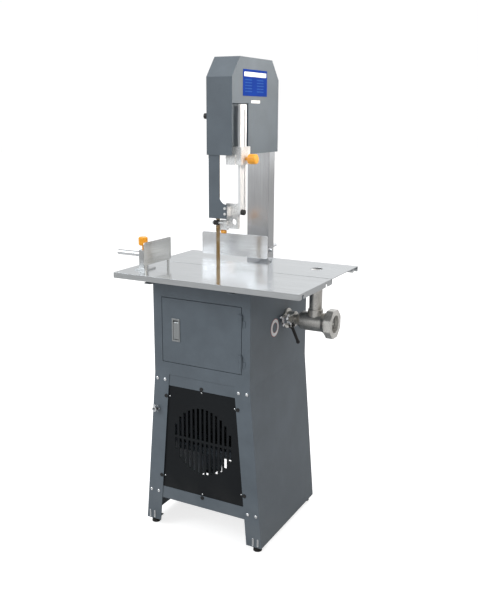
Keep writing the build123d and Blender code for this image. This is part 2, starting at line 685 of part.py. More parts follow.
def pusher_plate():
    """Upright plate with rounded upper corners that pushes the meat."""
    y = (PUSHER_FRONT, PUSHER_FRONT + PUSHER_WIDTH)
    z = (TABLE_TOP + PUSHER_RAISE, TABLE_TOP + PUSHER_RAISE + PUSHER_HEIGHT)
    plate = block((PUSHER_X - SHEET, PUSHER_X), y, z)
    return fillet(plate.edges().filter_by(Axis.X), 5)


def pusher_foot():
    """Sole that the plate glides on, a little clear of the table."""
    y = (PUSHER_FRONT + 8, PUSHER_FRONT + PUSHER_WIDTH - 8)
    z = (TABLE_TOP + GAP, TABLE_TOP + PUSHER_RAISE + 12)
    foot = block((PUSHER_X - SHEET - 4, PUSHER_X - SHEET), y, z)
    arch = (TABLE_TOP, TABLE_TOP + PUSHER_RAISE - 1)
    return foot - block((PUSHER_X - 10, PUSHER_X), (y[0] + 9, y[1] - 9), arch)


def pusher_rod():
    rod = rod_x((HANDLE_END, PUSHER_X - SHEET), HANDLE_Y, TABLE_TOP + HANDLE_RAISE, HANDLE_R)
    return fillet(rod.edges().group_by(Axis.X)[0], 2)


def fence_plate():
    """Gauge plate with rounded left corners."""
    z = (TABLE_TOP + FENCE_RAISE, TABLE_TOP + FENCE_RAISE + FENCE_HEIGHT)
    plate = block((FENCE_LEFT, FENCE_RIGHT), (FENCE_Y, FENCE_Y + 3), z)
    return fillet(plate.edges().filter_by(Axis.Y), 7)


FENCE_ROD_Z = TABLE_TOP + 23


def fence_rod():
    """Flange behind the plate and the rod that slides through the column."""
    rod = rod_y(FENCE_ROD_X, (FENCE_Y + 3, FENCE_ROD_END), FENCE_ROD_Z, 6)
    x = (FENCE_ROD_X - 30, FENCE_ROD_X + 30)
    return rod + block(x, (FENCE_Y + 3, FENCE_Y + 9), (FENCE_ROD_Z - 11, FENCE_ROD_Z + 25))


def fence_bush():
    """Bush in the column's front wall that guides the fence rod."""
    bush = rod_y(FENCE_ROD_X, (COL_FRONT - 4, COL_FRONT), FENCE_ROD_Z, 14)
    bush += rod_y(FENCE_ROD_X, (COL_FRONT, COL_FRONT + 20), FENCE_ROD_Z, 10)
    bush -= rod_y(FENCE_ROD_X, (COL_FRONT - 5, COL_FRONT + 21), FENCE_ROD_Z, 6 + RUN)
    return bush - rod_x((FENCE_ROD_X, COL_RIGHT), COL_FRONT + 14, FENCE_ROD_Z, 3 + RUN)


def fence_lock():
    """Screw from the column's right side that locks the fence rod."""
    y = COL_FRONT + 14
    screw = rod_x((FENCE_ROD_X + 6 + GAP, COL_RIGHT + 4), y, FENCE_ROD_Z, 3)
    screw += rod_x((COL_RIGHT + GAP, COL_RIGHT + 10), y, FENCE_ROD_Z, 6)
    wings = block((COL_RIGHT + 5, COL_RIGHT + 9), (y - 2, y + 2), (FENCE_ROD_Z - 12, FENCE_ROD_Z + 12))
    return screw + wings


# ---------------------------------------------------------------- column and head
def column():
    """Stainless box column; its front wall is cut away behind both wheels."""
    x, y, z = (COL_LEFT, COL_RIGHT), (COL_FRONT, COL_BACK), (COL_BOTTOM, HEAD_SHOULDER - 4)
    post = block(x, y, z)
    post = fillet(post.edges().filter_by(Axis.Z), 1.5)
    post -= block((x[0] + SHEET, x[1] - SHEET), (y[0] + SHEET, y[1] - SHEET), (z[0] - 1, z[1] + 1))
    window = (x[0] + SHEET, x[1] - SHEET)
    front = (y[0] - 1, y[0] + SHEET + 1)
    post -= block(window, front, (z[0] - 1, LOWER_Z + WHEEL_R - 20))
    post -= block(window, front, (HEAD_BOTTOM + 8, z[1] + 1))
    post -= rod_y(FENCE_ROD_X, (y[0] - 1, y[0] + 5), FENCE_ROD_Z, 10)
    post -= rod_y(FENCE_ROD_X, (y[1] - 5, y[1] + 1), FENCE_ROD_Z, 7)
    return post - rod_x((x[1] - 5, x[1] + 1), COL_FRONT + 14, FENCE_ROD_Z, 3 + RUN)


def head_outline(x, inset, low=HEAD_BOTTOM):
    """The head's six-sided side view with its walls moved in by inset."""
    rise = HEAD_TOP - HEAD_SHOULDER
    slant = math.hypot(rise, HEAD_CHAMFER)
    front, back, top = HEAD_FRONT + inset, HEAD_BACK - inset, HEAD_TOP - inset
    shoulder = HEAD_SHOULDER - inset * (slant - rise) / HEAD_CHAMFER
    corner = HEAD_CHAMFER + inset * (slant - HEAD_CHAMFER) / rise
    return [(x, front, low), (x, front, shoulder), (x, HEAD_FRONT + corner, top),
            (x, HEAD_BACK - corner, top), (x, back, shoulder), (x, back, low)]


COVER = 1.8            # thickness of the head's left cover


def head_housing():
    """Fixed part of the head: right wall and rim, open below and to the left."""
    left = HEAD_LEFT + COVER + GAP
    shell = prism(head_outline(left, 0), (HEAD_RIGHT - left, 0, 0))
    shell -= prism(head_outline(left - 1, SHEET, HEAD_BOTTOM + SHEET), (HEAD_RIGHT - SHEET - left + 1, 0, 0))
    floor_x, top = HEAD_RIGHT - RECESS_DEPTH, BAR_BOTTOM + BAR_LENGTH + 3
    front = HEAD_FRONT + SHEET
    shell += block((floor_x - SHEET, HEAD_RIGHT), (front, RECESS_BACK + SHEET), (HEAD_BOTTOM, top + SHEET))
    shell -= block((floor_x, HEAD_RIGHT + 1), (front, RECESS_BACK), (HEAD_BOTTOM - 1, top))
    blade_way = (HEAD_LEFT + 3.2, HEAD_RIGHT - 14)
    shell -= block(blade_way, (HEAD_FRONT + 3, BLADE_Y + 60), (HEAD_BOTTOM - 1, HEAD_BOTTOM + SHEET + 1))
    floor = (HEAD_BOTTOM - 1, HEAD_BOTTOM + SHEET + 1)
    shell -= block((COL_LEFT - FIT, COL_RIGHT + FIT), (COL_FRONT - FIT, COL_BACK + FIT), floor)
    return shell - rod_z(TENSION_X, WHEEL_Y, (HEAD_BOTTOM - 1, HEAD_BOTTOM + SHEET + 1), 24)


COVER_HINGE_Y = HEAD_BACK + 4
COVER_HINGE_Z = (HEAD_BOTTOM + 25, HEAD_SHOULDER - 65)


def head_cover():
    """Left cover of the head, hinged at its back edge."""
    cover = prism(head_outline(HEAD_LEFT, 0), (COVER, 0, 0))
    for low in COVER_HINGE_Z:
        span = (low + 20 + GAP, low + 40)
        leaf = block((HEAD_LEFT, HEAD_LEFT + COVER), (HEAD_BACK - 1, COVER_HINGE_Y), span)
        cover += hinge_moving(HEAD_LEFT, COVER_HINGE_Y, low, leaf)
    return cover


def cover_hinges():
    fixed = []
    for low in COVER_HINGE_Z:
        leaf = block((HEAD_LEFT, HEAD_LEFT + 16), (HEAD_BACK, HEAD_BACK + 1.5), (low, low + 20))
        leaf += block((HEAD_LEFT, HEAD_LEFT + 2), (HEAD_BACK, COVER_HINGE_Y), (low, low + 20))
        fixed.append(hinge_fixed(HEAD_LEFT, COVER_HINGE_Y, low, leaf))
    return fixed


COVER_KNOB_Z = HEAD_BOTTOM + 120


def cover_knob():
    """Knurled thumb screw that holds the cover's front edge."""
    knob = rod_x((HEAD_LEFT - 14, HEAD_LEFT - GAP), HEAD_FRONT + 12, COVER_KNOB_Z, 9)
    return fillet(knob.edges().group_by(Axis.X)[0], 2)


HEAD_PLATE_X = (COL_RIGHT - SHEET - 6, COL_RIGHT - SHEET)
CARRIER_Z = (UPPER_Z - 64, UPPER_Z + 24)
TENSION_X = BLADE_X + 34


def head_plate():
    """Plate bolted inside the column that carries the tension slide."""
    plate = block(HEAD_PLATE_X, (WHEEL_Y - 42, COL_BACK - SHEET), (HEAD_BOTTOM + 20, HEAD_TOP - 70))
    for side in (-1, 1):
        y = sorted((WHEEL_Y + side * 24, WHEEL_Y + side * 36))
        plate += block((HEAD_PLATE_X[0] - 12, HEAD_PLATE_X[0]), y, (CARRIER_Z[0] - 20, CARRIER_Z[1] + 10))
    shelf = (HEAD_BOTTOM + 42, HEAD_BOTTOM + 54)
    plate += block((TENSION_X - 14, HEAD_PLATE_X[0]), (WHEEL_Y - 24, WHEEL_Y + 24), shelf)
    return plate - rod_z(TENSION_X, WHEEL_Y, (shelf[0] - 1, shelf[1] + 1), 6 + RUN)


def tension_carrier():
    """Block that slides up and down between the rails, with the upper axle fixed in it."""
    x = (BLADE_X + 22, HEAD_PLATE_X[0] - GAP)
    block_ = block(x, (WHEEL_Y - 24 + GAP, WHEEL_Y + 24 - GAP), CARRIER_Z)
    block_ -= rod_z(TENSION_X, WHEEL_Y, (CARRIER_Z[0] - 1, UPPER_Z - AXLE_R - 3), 6 + RUN)
    return block_ - rod_x((x[0] - 1, x[1] + 1), WHEEL_Y, UPPER_Z, AXLE_R)


def upper_axle():
    return rod_x((BLADE_X - 19, HEAD_PLATE_X[0] - GAP), WHEEL_Y, UPPER_Z, AXLE_R)


def upper_bearings():
    rings = []
    for start in (BLADE_X - 17, BLADE_X + 3):
        ring = rod_x((start, start + 14), WHEEL_Y, UPPER_Z, BEARING_R)
        rings.append(ring - rod_x((start - 1, start + 15), WHEEL_Y, UPPER_Z, AXLE_R + RUN))
    return rings


def tension_screw():
    """Tension screw with its knob under the shelf."""
    low = HEAD_BOTTOM + 12
    screw = rod_z(TENSION_X, WHEEL_Y, (low, UPPER_Z - AXLE_R - 3 - TENSION_TRAVEL - 2), 6)
    knob = Pos(TENSION_X, WHEEL_Y, low) * Rot(0, -90, 0) * round_knob(0, 0, 0, 20, 22, 8)
    collar = rod_z(TENSION_X, WHEEL_Y, (HEAD_BOTTOM + 54 + GAP, HEAD_BOTTOM + 60), 10)
    return screw + knob + collar


# ---------------------------------------------------------------- upper guide
BAR_X_SPAN = (BAR_X - BAR_THICK / 2, BAR_X + BAR_THICK / 2)
BAR_MIDDLE = BAR_FRONT + BAR_DEPTH / 2


def guide_bar():
    """Flat bar with a long slot that carries the upper guide."""
    bar = block(BAR_X_SPAN, (BAR_FRONT, BAR_FRONT + BAR_DEPTH), (BAR_BOTTOM, BAR_BOTTOM + BAR_LENGTH))
    bar = fillet(bar.edges().filter_by(Axis.X), 4)
    slot_z = (BAR_BOTTOM + 14, BAR_BOTTOM + BAR_LENGTH - 16)
    slot = block((BAR_X - 9, BAR_X + 9), (BAR_MIDDLE + 6, BAR_MIDDLE + 12), slot_z)
    return bar - fillet(slot.edges().filter_by(Axis.X), 2.9)


def guide_clamp():
    """Bracket under the head's right side that the bar slides through."""
    x, y = (BAR_X_SPAN[0] - 7.5, BAR_X_SPAN[1] + 9), (BAR_FRONT - 9, BAR_FRONT + BAR_DEPTH + 9)
    z = (CLAMP_BOTTOM, CLAMP_BOTTOM + CLAMP_HEIGHT)
    clamp = block((HEAD_RIGHT - RECESS_DEPTH, x[1]), y, z)
    clamp += block((x[0] - 30, HEAD_RIGHT), (y[0] - 4, y[0] + 26), (z[0], HEAD_BOTTOM))
    clamp += block((x[0] - 20, HEAD_RIGHT), y, (z[0], HEAD_BOTTOM))
    clamp -= block((BAR_X_SPAN[0] - RUN, BAR_X_SPAN[1] + RUN),
                   (BAR_FRONT - RUN, BAR_FRONT + BAR_DEPTH + RUN), (z[0] - 1, z[1] + 1))
    return clamp - rod_x((BAR_X_SPAN[1], x[1] + 1), BAR_MIDDLE, GUIDE_KNOB_Z, 5 + RUN)


GUIDE_KNOB_Z = CLAMP_BOTTOM + 18


def guide_knob():
    """Orange knob whose screw clamps the bar."""
    face = BAR_X_SPAN[1] + 9
    knob = round_knob(face + 10, BAR_MIDDLE, GUIDE_KNOB_Z, KNOB_R, 30, 8)
    return knob + rod_x((BAR_X_SPAN[1] + GAP, face + 11), BAR_MIDDLE, GUIDE_KNOB_Z, 5)


GUIDE_TOP = GUARD_BOTTOM + 47


def guide_bracket():
    """Casting at the bar's foot that carries the guard, the rollers and the blade slot."""
    back = BLADE_Y + BLADE_THICK / 2 + 1
    piece = block((BLADE_X + 30, BAR_X_SPAN[0]), (back, back + 16), (GUARD_BOTTOM - 34, GUIDE_TOP))
    piece += block((BLADE_X + 8, BLADE_X + 34), (back, back + 12), (GUARD_BOTTOM - 40, GUARD_BOTTOM - 8))
    cheek = (back, BAR_FRONT + BAR_DEPTH - 4)
    piece += block((BAR_X_SPAN[0] - 10, BAR_X_SPAN[0]), cheek, (BAR_BOTTOM + 4, GUIDE_TOP))
    arm = (HEAD_FRONT + 5, back + 4)
    piece += block((BLADE_X + 34, BLADE_X + 50), arm, (GUARD_BOTTOM + 8, GUIDE_TOP - 8))
    piece -= rod_y(BAR_X - 20, (back - 1, back + 40), GUARD_BOTTOM - 12, 11)
    return piece


def guide_jaw():
    """Bronze slot block that keeps the blade straight."""
    z = (GUARD_BOTTOM - 44, GUARD_BOTTOM - 24)
    jaw = block((BLADE_X - 8, BLADE_X + 8), (BLADE_Y + 0.8, BLADE_Y + 13), z)
    return jaw - block((BLADE_X + 7.9, BLADE_X + 9), (0, 20), z)


def guide_screws():
    """Two silver screws that hold the guard."""
    y = HEAD_FRONT + 3.5
    return [rod_y(BLADE_X + 42, (y - 4, y), z, 4) for z in (GUARD_BOTTOM + 16, GUARD_BOTTOM + 34)]


def guide_tip():
    """Orange nylon tip beside the blade, under the bracket."""
    x, y, z = BLADE_X + 18, BLADE_Y + 8, GUARD_BOTTOM - 47
    tip = rod_x((x - 8, x + 8), y, z, 6)
    return tip + rod_z(x, y, (z, GUARD_BOTTOM - 40), 3)


def lock_stub():
    """Black hexagon nut on the bracket's right side."""
    nut = Rot(0, 90, 0) * extrude(RegularPolygon(8, 6), 6, both=True)
    return Pos(BAR_X_SPAN[1] + 6, BAR_FRONT + 10, GUARD_BOTTOM + 20) * nut


def guide_roller():
    """Black roller in front of the blade."""
    y = BLADE_Y - BLADE_THICK / 2 - GAP - ROLLER_R
    z = GUARD_BOTTOM - 16
    roller = rod_x((BLADE_X - 8, BLADE_X + 8), y, z, ROLLER_R)
    for k in range(16):
        turn = math.radians(360 / 16 * k)
        groove = (y + ROLLER_R * math.cos(turn), z + ROLLER_R * math.sin(turn))
        roller -= rod_x((BLADE_X - 9, BLADE_X + 9), groove[0], groove[1], 0.5)
    return roller - rod_x((BLADE_X - 9, BLADE_X + 9), y, z, 3 + RUN)


def roller_arm():
    """Pin and arm that hold the roller on the bracket."""
    y = BLADE_Y - BLADE_THICK / 2 - GAP - ROLLER_R
    z = GUARD_BOTTOM - 16
    arm = rod_x((BLADE_X - 14, BLADE_X + 36), y, z, 3)
    arm += rod_x((BLADE_X - 14, BLADE_X - 8 - GAP), y, z, 5)
    return arm + block((BLADE_X + 30, BLADE_X + 40), (y - 4, BLADE_Y + 1.35), (z - 6, z + 6))


def blade_guard():
    """Folded guard in front of the blade, with a rounded flare to the right at its foot."""
    left = BLADE_X - GUARD_WIDTH / 2 + 1
    right = left + GUARD_WIDTH
    y = HEAD_FRONT + 3.5
    flare, sweep = 27.0, 46.0
    guard = block((left, right), (y, y + 1.5), (GUARD_BOTTOM, GUARD_TOP))
    arc_z = GUARD_BOTTOM + sweep + flare
    wing = block((right - 1, right + flare), (y, y + 1.5), (GUARD_BOTTOM, arc_z))
    cut = Pos(right + flare, y, arc_z) * Rot(90, 0, 0) * Cylinder(flare, 10)
    guard += wing - cut
    guard += block((left, left + 1.5), (y, BLADE_Y + 12), (GUARD_BOTTOM, GUARD_TOP))
    return guard


# ---------------------------------------------------------------- mincer
def mincer_socket():
    """Clamp boss on the cabinet's wall that takes the mincer's shank."""
    socket = rod_x((CAB_RIGHT, CAB_RIGHT + 6), WHEEL_Y, LOWER_Z, SOCKET_R + 8)
    socket += rod_x((CAB_RIGHT + 6, SOCKET_END), WHEEL_Y, LOWER_Z, SOCKET_R)
    lug = (WHEEL_Y - LUG_DEPTH, WHEEL_Y)
    socket += block((CAB_RIGHT + 6, SOCKET_END), lug, (LOWER_Z - 6, LOWER_Z + 20))
    socket -= rod_x((CAB_RIGHT - 1, SOCKET_END + 1), WHEEL_Y, LOWER_Z, SHANK_R)
    y = (WHEEL_Y - LUG_DEPTH - 1, WHEEL_Y - SHANK_R + 2)
    return socket - rod_y(CLAMP_X, y, CLAMP_Z, 5 + RUN)


CLAMP_X = SOCKET_END - 7
CLAMP_Z = LOWER_Z + 9
CLAMP_Y = WHEEL_Y - LUG_DEPTH


def mincer_clamp():
    """Star handle whose screw grips the shank."""
    screw = rod_y(CLAMP_X, (CLAMP_Y - 18, WHEEL_Y - SHANK_R - 2), CLAMP_Z, 5)
    hub = rod_y(CLAMP_X, (CLAMP_Y - 20, CLAMP_Y - 6), CLAMP_Z, 9)
    star = screw + hub
    for k in range(4):
        arm = rod_z(0, 0, (0, 20), 3.2) + Pos(0, 0, 20) * Sphere(4.5)
        star += Pos(CLAMP_X, CLAMP_Y - 13, CLAMP_Z) * Rot(0, 25 + 90 * k, 0) * arm
    return star


LEVER_X = SOCKET_END + 9
LEVER_Y = CLAMP_Y + 8
LEVER_Z = LOWER_Z - 10


def lever_pin():
    """Pin beside the clamp lug that the black lever turns on."""
    pin = rod_y(LEVER_X, (CLAMP_Y - 7, LEVER_Y + 4), LEVER_Z, 4)
    return pin + block((SOCKET_END - 1, LEVER_X + 6), (LEVER_Y, LEVER_Y + 10), (LEVER_Z - 6, LOWER_Z + 4))


def mincer_lever():
    """Black lever with a grip, hanging down to the right."""
    hub = rod_y(0, (CLAMP_Y - 6, LEVER_Y - GAP), 0, 8)
    grip = Pos(0, CLAMP_Y + 1, -31) * Cylinder(5, 50)
    grip += Pos(0, CLAMP_Y + 1, -58) * Sphere(6.5)
    lever = hub + Rot(0, -25, 0) * grip
    lever -= rod_y(0, (CLAMP_Y - 30, CLAMP_Y + 30), 0, 4 + RUN)
    return Pos(LEVER_X, 0, LEVER_Z) * lever


def mincer_barrel():
    """Barrel with shank, mouth and feed neck."""
    neck_top = TABLE_TOP - SHEET - 4
    barrel = rod_x((CAB_RIGHT - SHEET + 1, BARREL_START), WHEEL_Y, LOWER_Z, SHANK_R)
    barrel += cone_x((BARREL_START - 2, BARREL_START + 12), WHEEL_Y, LOWER_Z, SHANK_R + 4, BARREL_R)
    barrel += rod_x((BARREL_START + 12, MOUTH_START), WHEEL_Y, LOWER_Z, BARREL_R)
    barrel += cone_x((MOUTH_START - 8, MOUTH_START + 4), WHEEL_Y, LOWER_Z, BARREL_R, MOUTH_R - 3)
    barrel += rod_x((MOUTH_START + 4, MOUTH_END), WHEEL_Y, LOWER_Z, MOUTH_R - 1)
    barrel += rod_z(FEED_X, WHEEL_Y, (LOWER_Z + 8, neck_top), NECK_R)
    barrel += rod_z(FEED_X, WHEEL_Y, (LOWER_Z + 20, LOWER_Z + 44), NECK_R + 4)
    barrel -= rod_x((BORE_START, MOUTH_END + 1), WHEEL_Y, LOWER_Z, BARREL_BORE)
    barrel -= rod_x((MOUTH_END - 8, MOUTH_END + 1), WHEEL_Y, LOWER_Z, 35)
    barrel -= rod_z(FEED_X, WHEEL_Y, (LOWER_Z, neck_top + 1), NECK_R - NECK_WALL)
    return barrel - rod_x((CAB_RIGHT - SHEET, BORE_START + 1), WHEEL_Y, LOWER_Z, SHAFT_R + 1.5)


def mincer_auger():
    """Feed screw with a helical flight, driven by the shaft's square."""
    start, end = BORE_START + 1, MOUTH_END - 20
    core = rod_x((SOCKET_END - 16, start), WHEEL_Y, LOWER_Z, SHAFT_R)
    core += cone_x((start, end), WHEEL_Y, LOWER_Z, 12, 15)
    core += rod_x((end, MOUTH_END + 6), WHEEL_Y, LOWER_Z, 5)
    square = (WHEEL_Y - 6 - RUN, WHEEL_Y + 6 + RUN)
    core -= block((SOCKET_END - 17, SOCKET_END + 1), square, (LOWER_Z - 6 - RUN, LOWER_Z + 6 + RUN))
    path = Helix(pitch=24, height=end - start - 8, radius=19)
    section = Plane(origin=path @ 0, x_dir=(1, 0, 0), z_dir=path % 0) * Rectangle(20, 4)
    flight = sweep(section, path=path, is_frenet=True)
    flight = Pos(start + 4, WHEEL_Y, LOWER_Z) * Rot(0, 90, 0) * flight
    return core + flight


def mincer_knife():
    """Four-armed cutter on the auger's nose."""
    x = (MOUTH_END - 15, MOUTH_END - 9)
    knife = rod_x(x, WHEEL_Y, LOWER_Z, 10)
    for k in range(4):
        arm = block(x, (-4, 4), (0, 27))
        knife += Pos(0, WHEEL_Y, LOWER_Z) * Rot(90 * k, 0, 0) * arm
    return knife - rod_x((x[0] - 1, x[1] + 1), WHEEL_Y, LOWER_Z, 5)


def mincer_plate():
    """Perforated plate that the ring nut holds in the mouth."""
    x = (MOUTH_END - 8, MOUTH_END)
    plate = rod_x(x, WHEEL_Y, LOWER_Z, 35)
    for radius, count in ((13, 8), (21, 13), (28, 18)):
        for k in range(count):
            turn = 2 * math.pi * k / count
            hole = (WHEEL_Y + radius * math.cos(turn), LOWER_Z + radius * math.sin(turn))
            plate -= rod_x((x[0] - 1, x[1] + 1), hole[0], hole[1], 2.5)
    return plate - rod_x((x[0] - 1, x[1] + 1), WHEEL_Y, LOWER_Z, 5 + RUN)


def ring_nut():
    """Eight-sided ring nut that screws on the mouth."""
    octagon = extrude(RegularPolygon(RING_R, 8, rotation=22.5), RING_END - RING_START)
    ring = Pos(RING_START, WHEEL_Y, LOWER_Z) * Rot(0, 90, 0) * octagon
    ring = ring & rod_x((RING_START, RING_END), WHEEL_Y, LOWER_Z, RING_R - 1)
    ring -= rod_x((RING_START - 1, MOUTH_END + GAP), WHEEL_Y, LOWER_Z, MOUTH_R - 1 + GAP)
    return ring - rod_x((RING_START, RING_END + 1), WHEEL_Y, LOWER_Z, RING_HOLE)


# ---------------------------------------------------------------- all nodes
NODES = {
    "stand_frame": lambda: [stand_side(-1), stand_side(1), back_panel(), motor_shelf()] + stand_rails(),
    "stand_fasteners": lambda: stand_bolts() + clip_screws() + foot_straps(),
    "fan_panel": fan_panel,
    "panel_clips": lambda: panel_clips() + rail_clips(),
    "rubber_feet": rubber_feet,
    "motor": motor,
    "motor_pulley": motor_pulley,
    "cable_gland": cable_gland,
    "cabinet_body": lambda: cabinet_body() + door_stop(),
    "hinge_pins": lambda: door_hinges() + cover_hinges(),
    "cabinet_door": cabinet_door,
    "latch_plate": latch_plate,
    "latch_paddle": latch_paddle,
    "scrap_tray": scrap_tray,
    "switch_box": switch_box,
    "start_button": lambda: button(SWITCH_Z + 24, 11, 2),
    "stop_button": lambda: button(SWITCH_Z - 22, 15, 6),
    "drive_housing": drive_housing,
    "drive_bearings": drive_bearings,
    "lower_wheel": lambda: wheel(LOWER_Z, 26, SHAFT_R),
    "lower_shaft": lower_shaft,
    "driven_pulley": lambda: pulley(LOWER_Z, DRIVEN_R, SHAFT_R),
    "drive_belt": drive_belt,
    "saw_blade": saw_blade,
    "table_supports": lambda: cross_bars() + saddles() + table_posts(),
    "table_rods": lambda: rods(FRONT_RODS + BACK_RODS),
    "fixed_table": fixed_table,
    "sliding_table": sliding_table,
    "slide_blocks": slide_blocks,
    "lower_guide": lower_guide,
    "pusher_block": pusher_block,
    "pusher_knob": pusher_knob,
    "pusher_plate": lambda: pusher_plate() + pusher_foot(),
    "pusher_rod": pusher_rod,
    "fence_plate": fence_plate,
    "fence_rod": fence_rod,
    "fence_lock": fence_lock,
    "column": lambda: [column(), fence_bush()],
    "head_housing": head_housing,
    "head_cover": head_cover,
    "cover_knob": cover_knob,
    "head_plate": head_plate,
    "tension_carrier": lambda: tension_carrier() + upper_axle(),
    "upper_wheel": lambda: wheel(UPPER_Z, 32, BEARING_R),
    "upper_bearings": upper_bearings,
    "tension_screw": tension_screw,
    "guide_bar": guide_bar,
    "guide_clamp": guide_clamp,
    "guide_knob": guide_knob,
    "guide_bracket": lambda: [guide_bracket() + roller_arm(), guide_jaw()] + guide_screws(),
    "guide_tip": guide_tip,
    "guide_roller": guide_roller,
    "blade_guard": lambda: [blade_guard(), lock_stub()],
    "mincer_socket": lambda: mincer_socket() + lever_pin(),
    "mincer_clamp": mincer_clamp,
    "mincer_lever": mincer_lever,
    "mincer_barrel": mincer_barrel,
    "mincer_auger": lambda: [mincer_auger(), mincer_knife()],
    "mincer_plate": mincer_plate,
    "ring_nut": ring_nut,
}


def write_all():
    """Write one STEP file per node, moved so that the footprint's middle is the origin."""
    os.makedirs("parts", exist_ok=True)
    for name, make in NODES.items():
        made = make()
        pieces = made if isinstance(made, list) else [made]
        solids = [solid for piece in pieces for solid in (Pos(*-ORIGIN) * piece).solids()]
        shape = solids[0] if len(solids) == 1 else Compound(children=solids)
        export_step(shape, f"parts/{name}.step")


write_all()
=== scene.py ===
# %% [markdown]
# A bone saw, dressed around its CAD frame
#
# The real machine is a folded sheet-metal stand and cabinet in grey powder coat, a polished stainless table
# and column, a painted head, and a cast mincer on the right. The CAD model already holds every shape that
# moves or fits. This notebook gives each of those shapes a finish built from nodes, and adds what a CAD model
# leaves out: the blade's teeth, screw heads with their recesses, labels, clips and ribbed feet.

# %% Load the frame
import bpy
import bmesh
import json
import math
from mathutils import Matrix, Vector


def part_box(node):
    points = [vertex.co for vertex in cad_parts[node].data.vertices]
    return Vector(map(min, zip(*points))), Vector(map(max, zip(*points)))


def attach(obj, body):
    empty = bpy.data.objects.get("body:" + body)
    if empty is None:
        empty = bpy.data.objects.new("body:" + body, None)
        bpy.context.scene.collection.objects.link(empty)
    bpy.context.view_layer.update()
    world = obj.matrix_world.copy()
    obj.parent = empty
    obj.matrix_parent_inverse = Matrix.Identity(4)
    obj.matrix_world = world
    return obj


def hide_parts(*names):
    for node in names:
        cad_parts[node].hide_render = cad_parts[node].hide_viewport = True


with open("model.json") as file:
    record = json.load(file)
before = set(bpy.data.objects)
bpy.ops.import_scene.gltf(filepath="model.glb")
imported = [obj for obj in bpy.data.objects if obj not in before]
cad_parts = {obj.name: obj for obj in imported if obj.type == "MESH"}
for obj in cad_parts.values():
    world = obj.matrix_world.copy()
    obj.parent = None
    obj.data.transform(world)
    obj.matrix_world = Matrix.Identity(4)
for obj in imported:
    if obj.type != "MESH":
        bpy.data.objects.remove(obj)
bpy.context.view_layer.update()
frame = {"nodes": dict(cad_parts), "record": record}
nodes = frame["nodes"]
scene = bpy.context.scene
MM = 0.001

# %% [markdown]
# The camera
#
# The machine is seen from the front right, from a little above the table, with a normal lens. A camera can be
# turned by angles or by a matrix. The matrix is used here, because yaw, pitch and roll then stay three plain
# numbers, and the three rows of the matrix are directions that can be checked by eye.

# %% Camera
CAMERA_AT = Vector((1.1935, -2.2291, 1.4157))
YAW, PITCH, ROLL = math.radians(27.91), math.radians(13.88), math.radians(0.296)
LENS = 45.94
SHIFT = (-0.0098, 0.0060)


def aimed_camera():
    data = bpy.data.cameras.new("camera")
    data.lens = LENS
    data.sensor_width = 36.0
    data.shift_x, data.shift_y = SHIFT
    ahead = Vector((-math.sin(YAW) * math.cos(PITCH), math.cos(YAW) * math.cos(PITCH), -math.sin(PITCH)))
    level = Vector((math.cos(YAW), math.sin(YAW), 0))
    above = level.cross(ahead)
    right = level * math.cos(ROLL) + above * math.sin(ROLL)
    up = right.cross(ahead)
    turn = Matrix((right, up, -ahead)).transposed().to_4x4()
    camera = bpy.data.objects.new("camera", data)
    camera.matrix_world = Matrix.Translation(CAMERA_AT) @ turn
    scene.collection.objects.link(camera)
    scene.camera = camera
    return camera


print("camera at", [round(v, 3) for v in aimed_camera().location])

# %% [markdown]
# Floor and light
#
# The machine stands on a white sweep under large soft boxes. One plane for the floor, a bright world and
# three area lights do the same. The world's brightness changes with the compass direction, because polished
# steel shows only what is around it: under an even white world it would look like white paint. The right side
# is dimmer and a little warmer than the front, and a narrow warm light picks out the head.

# %% Floor, world and lights
# place, size, watts, colour, target and spread in degrees
LIGHTS = {
    "key": ((-2.4, -2.6, 2.9), (1.8, 1.8), 44.0, (0.92, 0.97, 1.0), (0, 0, 0.9), 180),
    "side": ((3.0, 0.2, 2.5), (0.7, 0.7), 4.2, (1.0, 0.90, 0.80), (0, 0, 1.68), 24),
    "top": ((0.2, 0.6, 3.6), (2.6, 2.6), 42.0, (1.0, 1.0, 1.0), (0, 0, 0.9), 180),
}
# share of a full turn and brightness: 0 is -X, 0.25 is -Y, 0.5 is +X and 0.75 is +Y
WORLD_BANDS = (
    (0.00, 0.80), (0.12, 1.10), (0.22, 1.15), (0.32, 0.90), (0.42, 0.62), (0.55, 0.55), (0.60, 0.70),
    (0.65, 1.20), (0.72, 1.20), (0.80, 1.00), (0.90, 0.70), (1.00, 0.80),
)


def floor_plane(size=40.0):
    mesh = bpy.data.meshes.new("floor")
    half = size / 2
    corners = [(-half, -half, 0), (half, -half, 0), (half, half, 0), (-half, half, 0)]
    mesh.from_pydata(corners, [], [(0, 1, 2, 3)])
    plane = bpy.data.objects.new("floor", mesh)
    scene.collection.objects.link(plane)
    return plane


def area_light(name, place, size, watts, colour, target, spread):
    data = bpy.data.lights.new(name, "AREA")
    data.spread = math.radians(spread)
    data.shape = "RECTANGLE"
    data.size, data.size_y = size
    data.energy = watts
    data.color = colour
    light = bpy.data.objects.new(name, data)
    light.location = place
    aim = Vector(target) - Vector(place)
    light.rotation_euler = aim.to_track_quat("-Z", "Y").to_euler()
    scene.collection.objects.link(light)
    return light


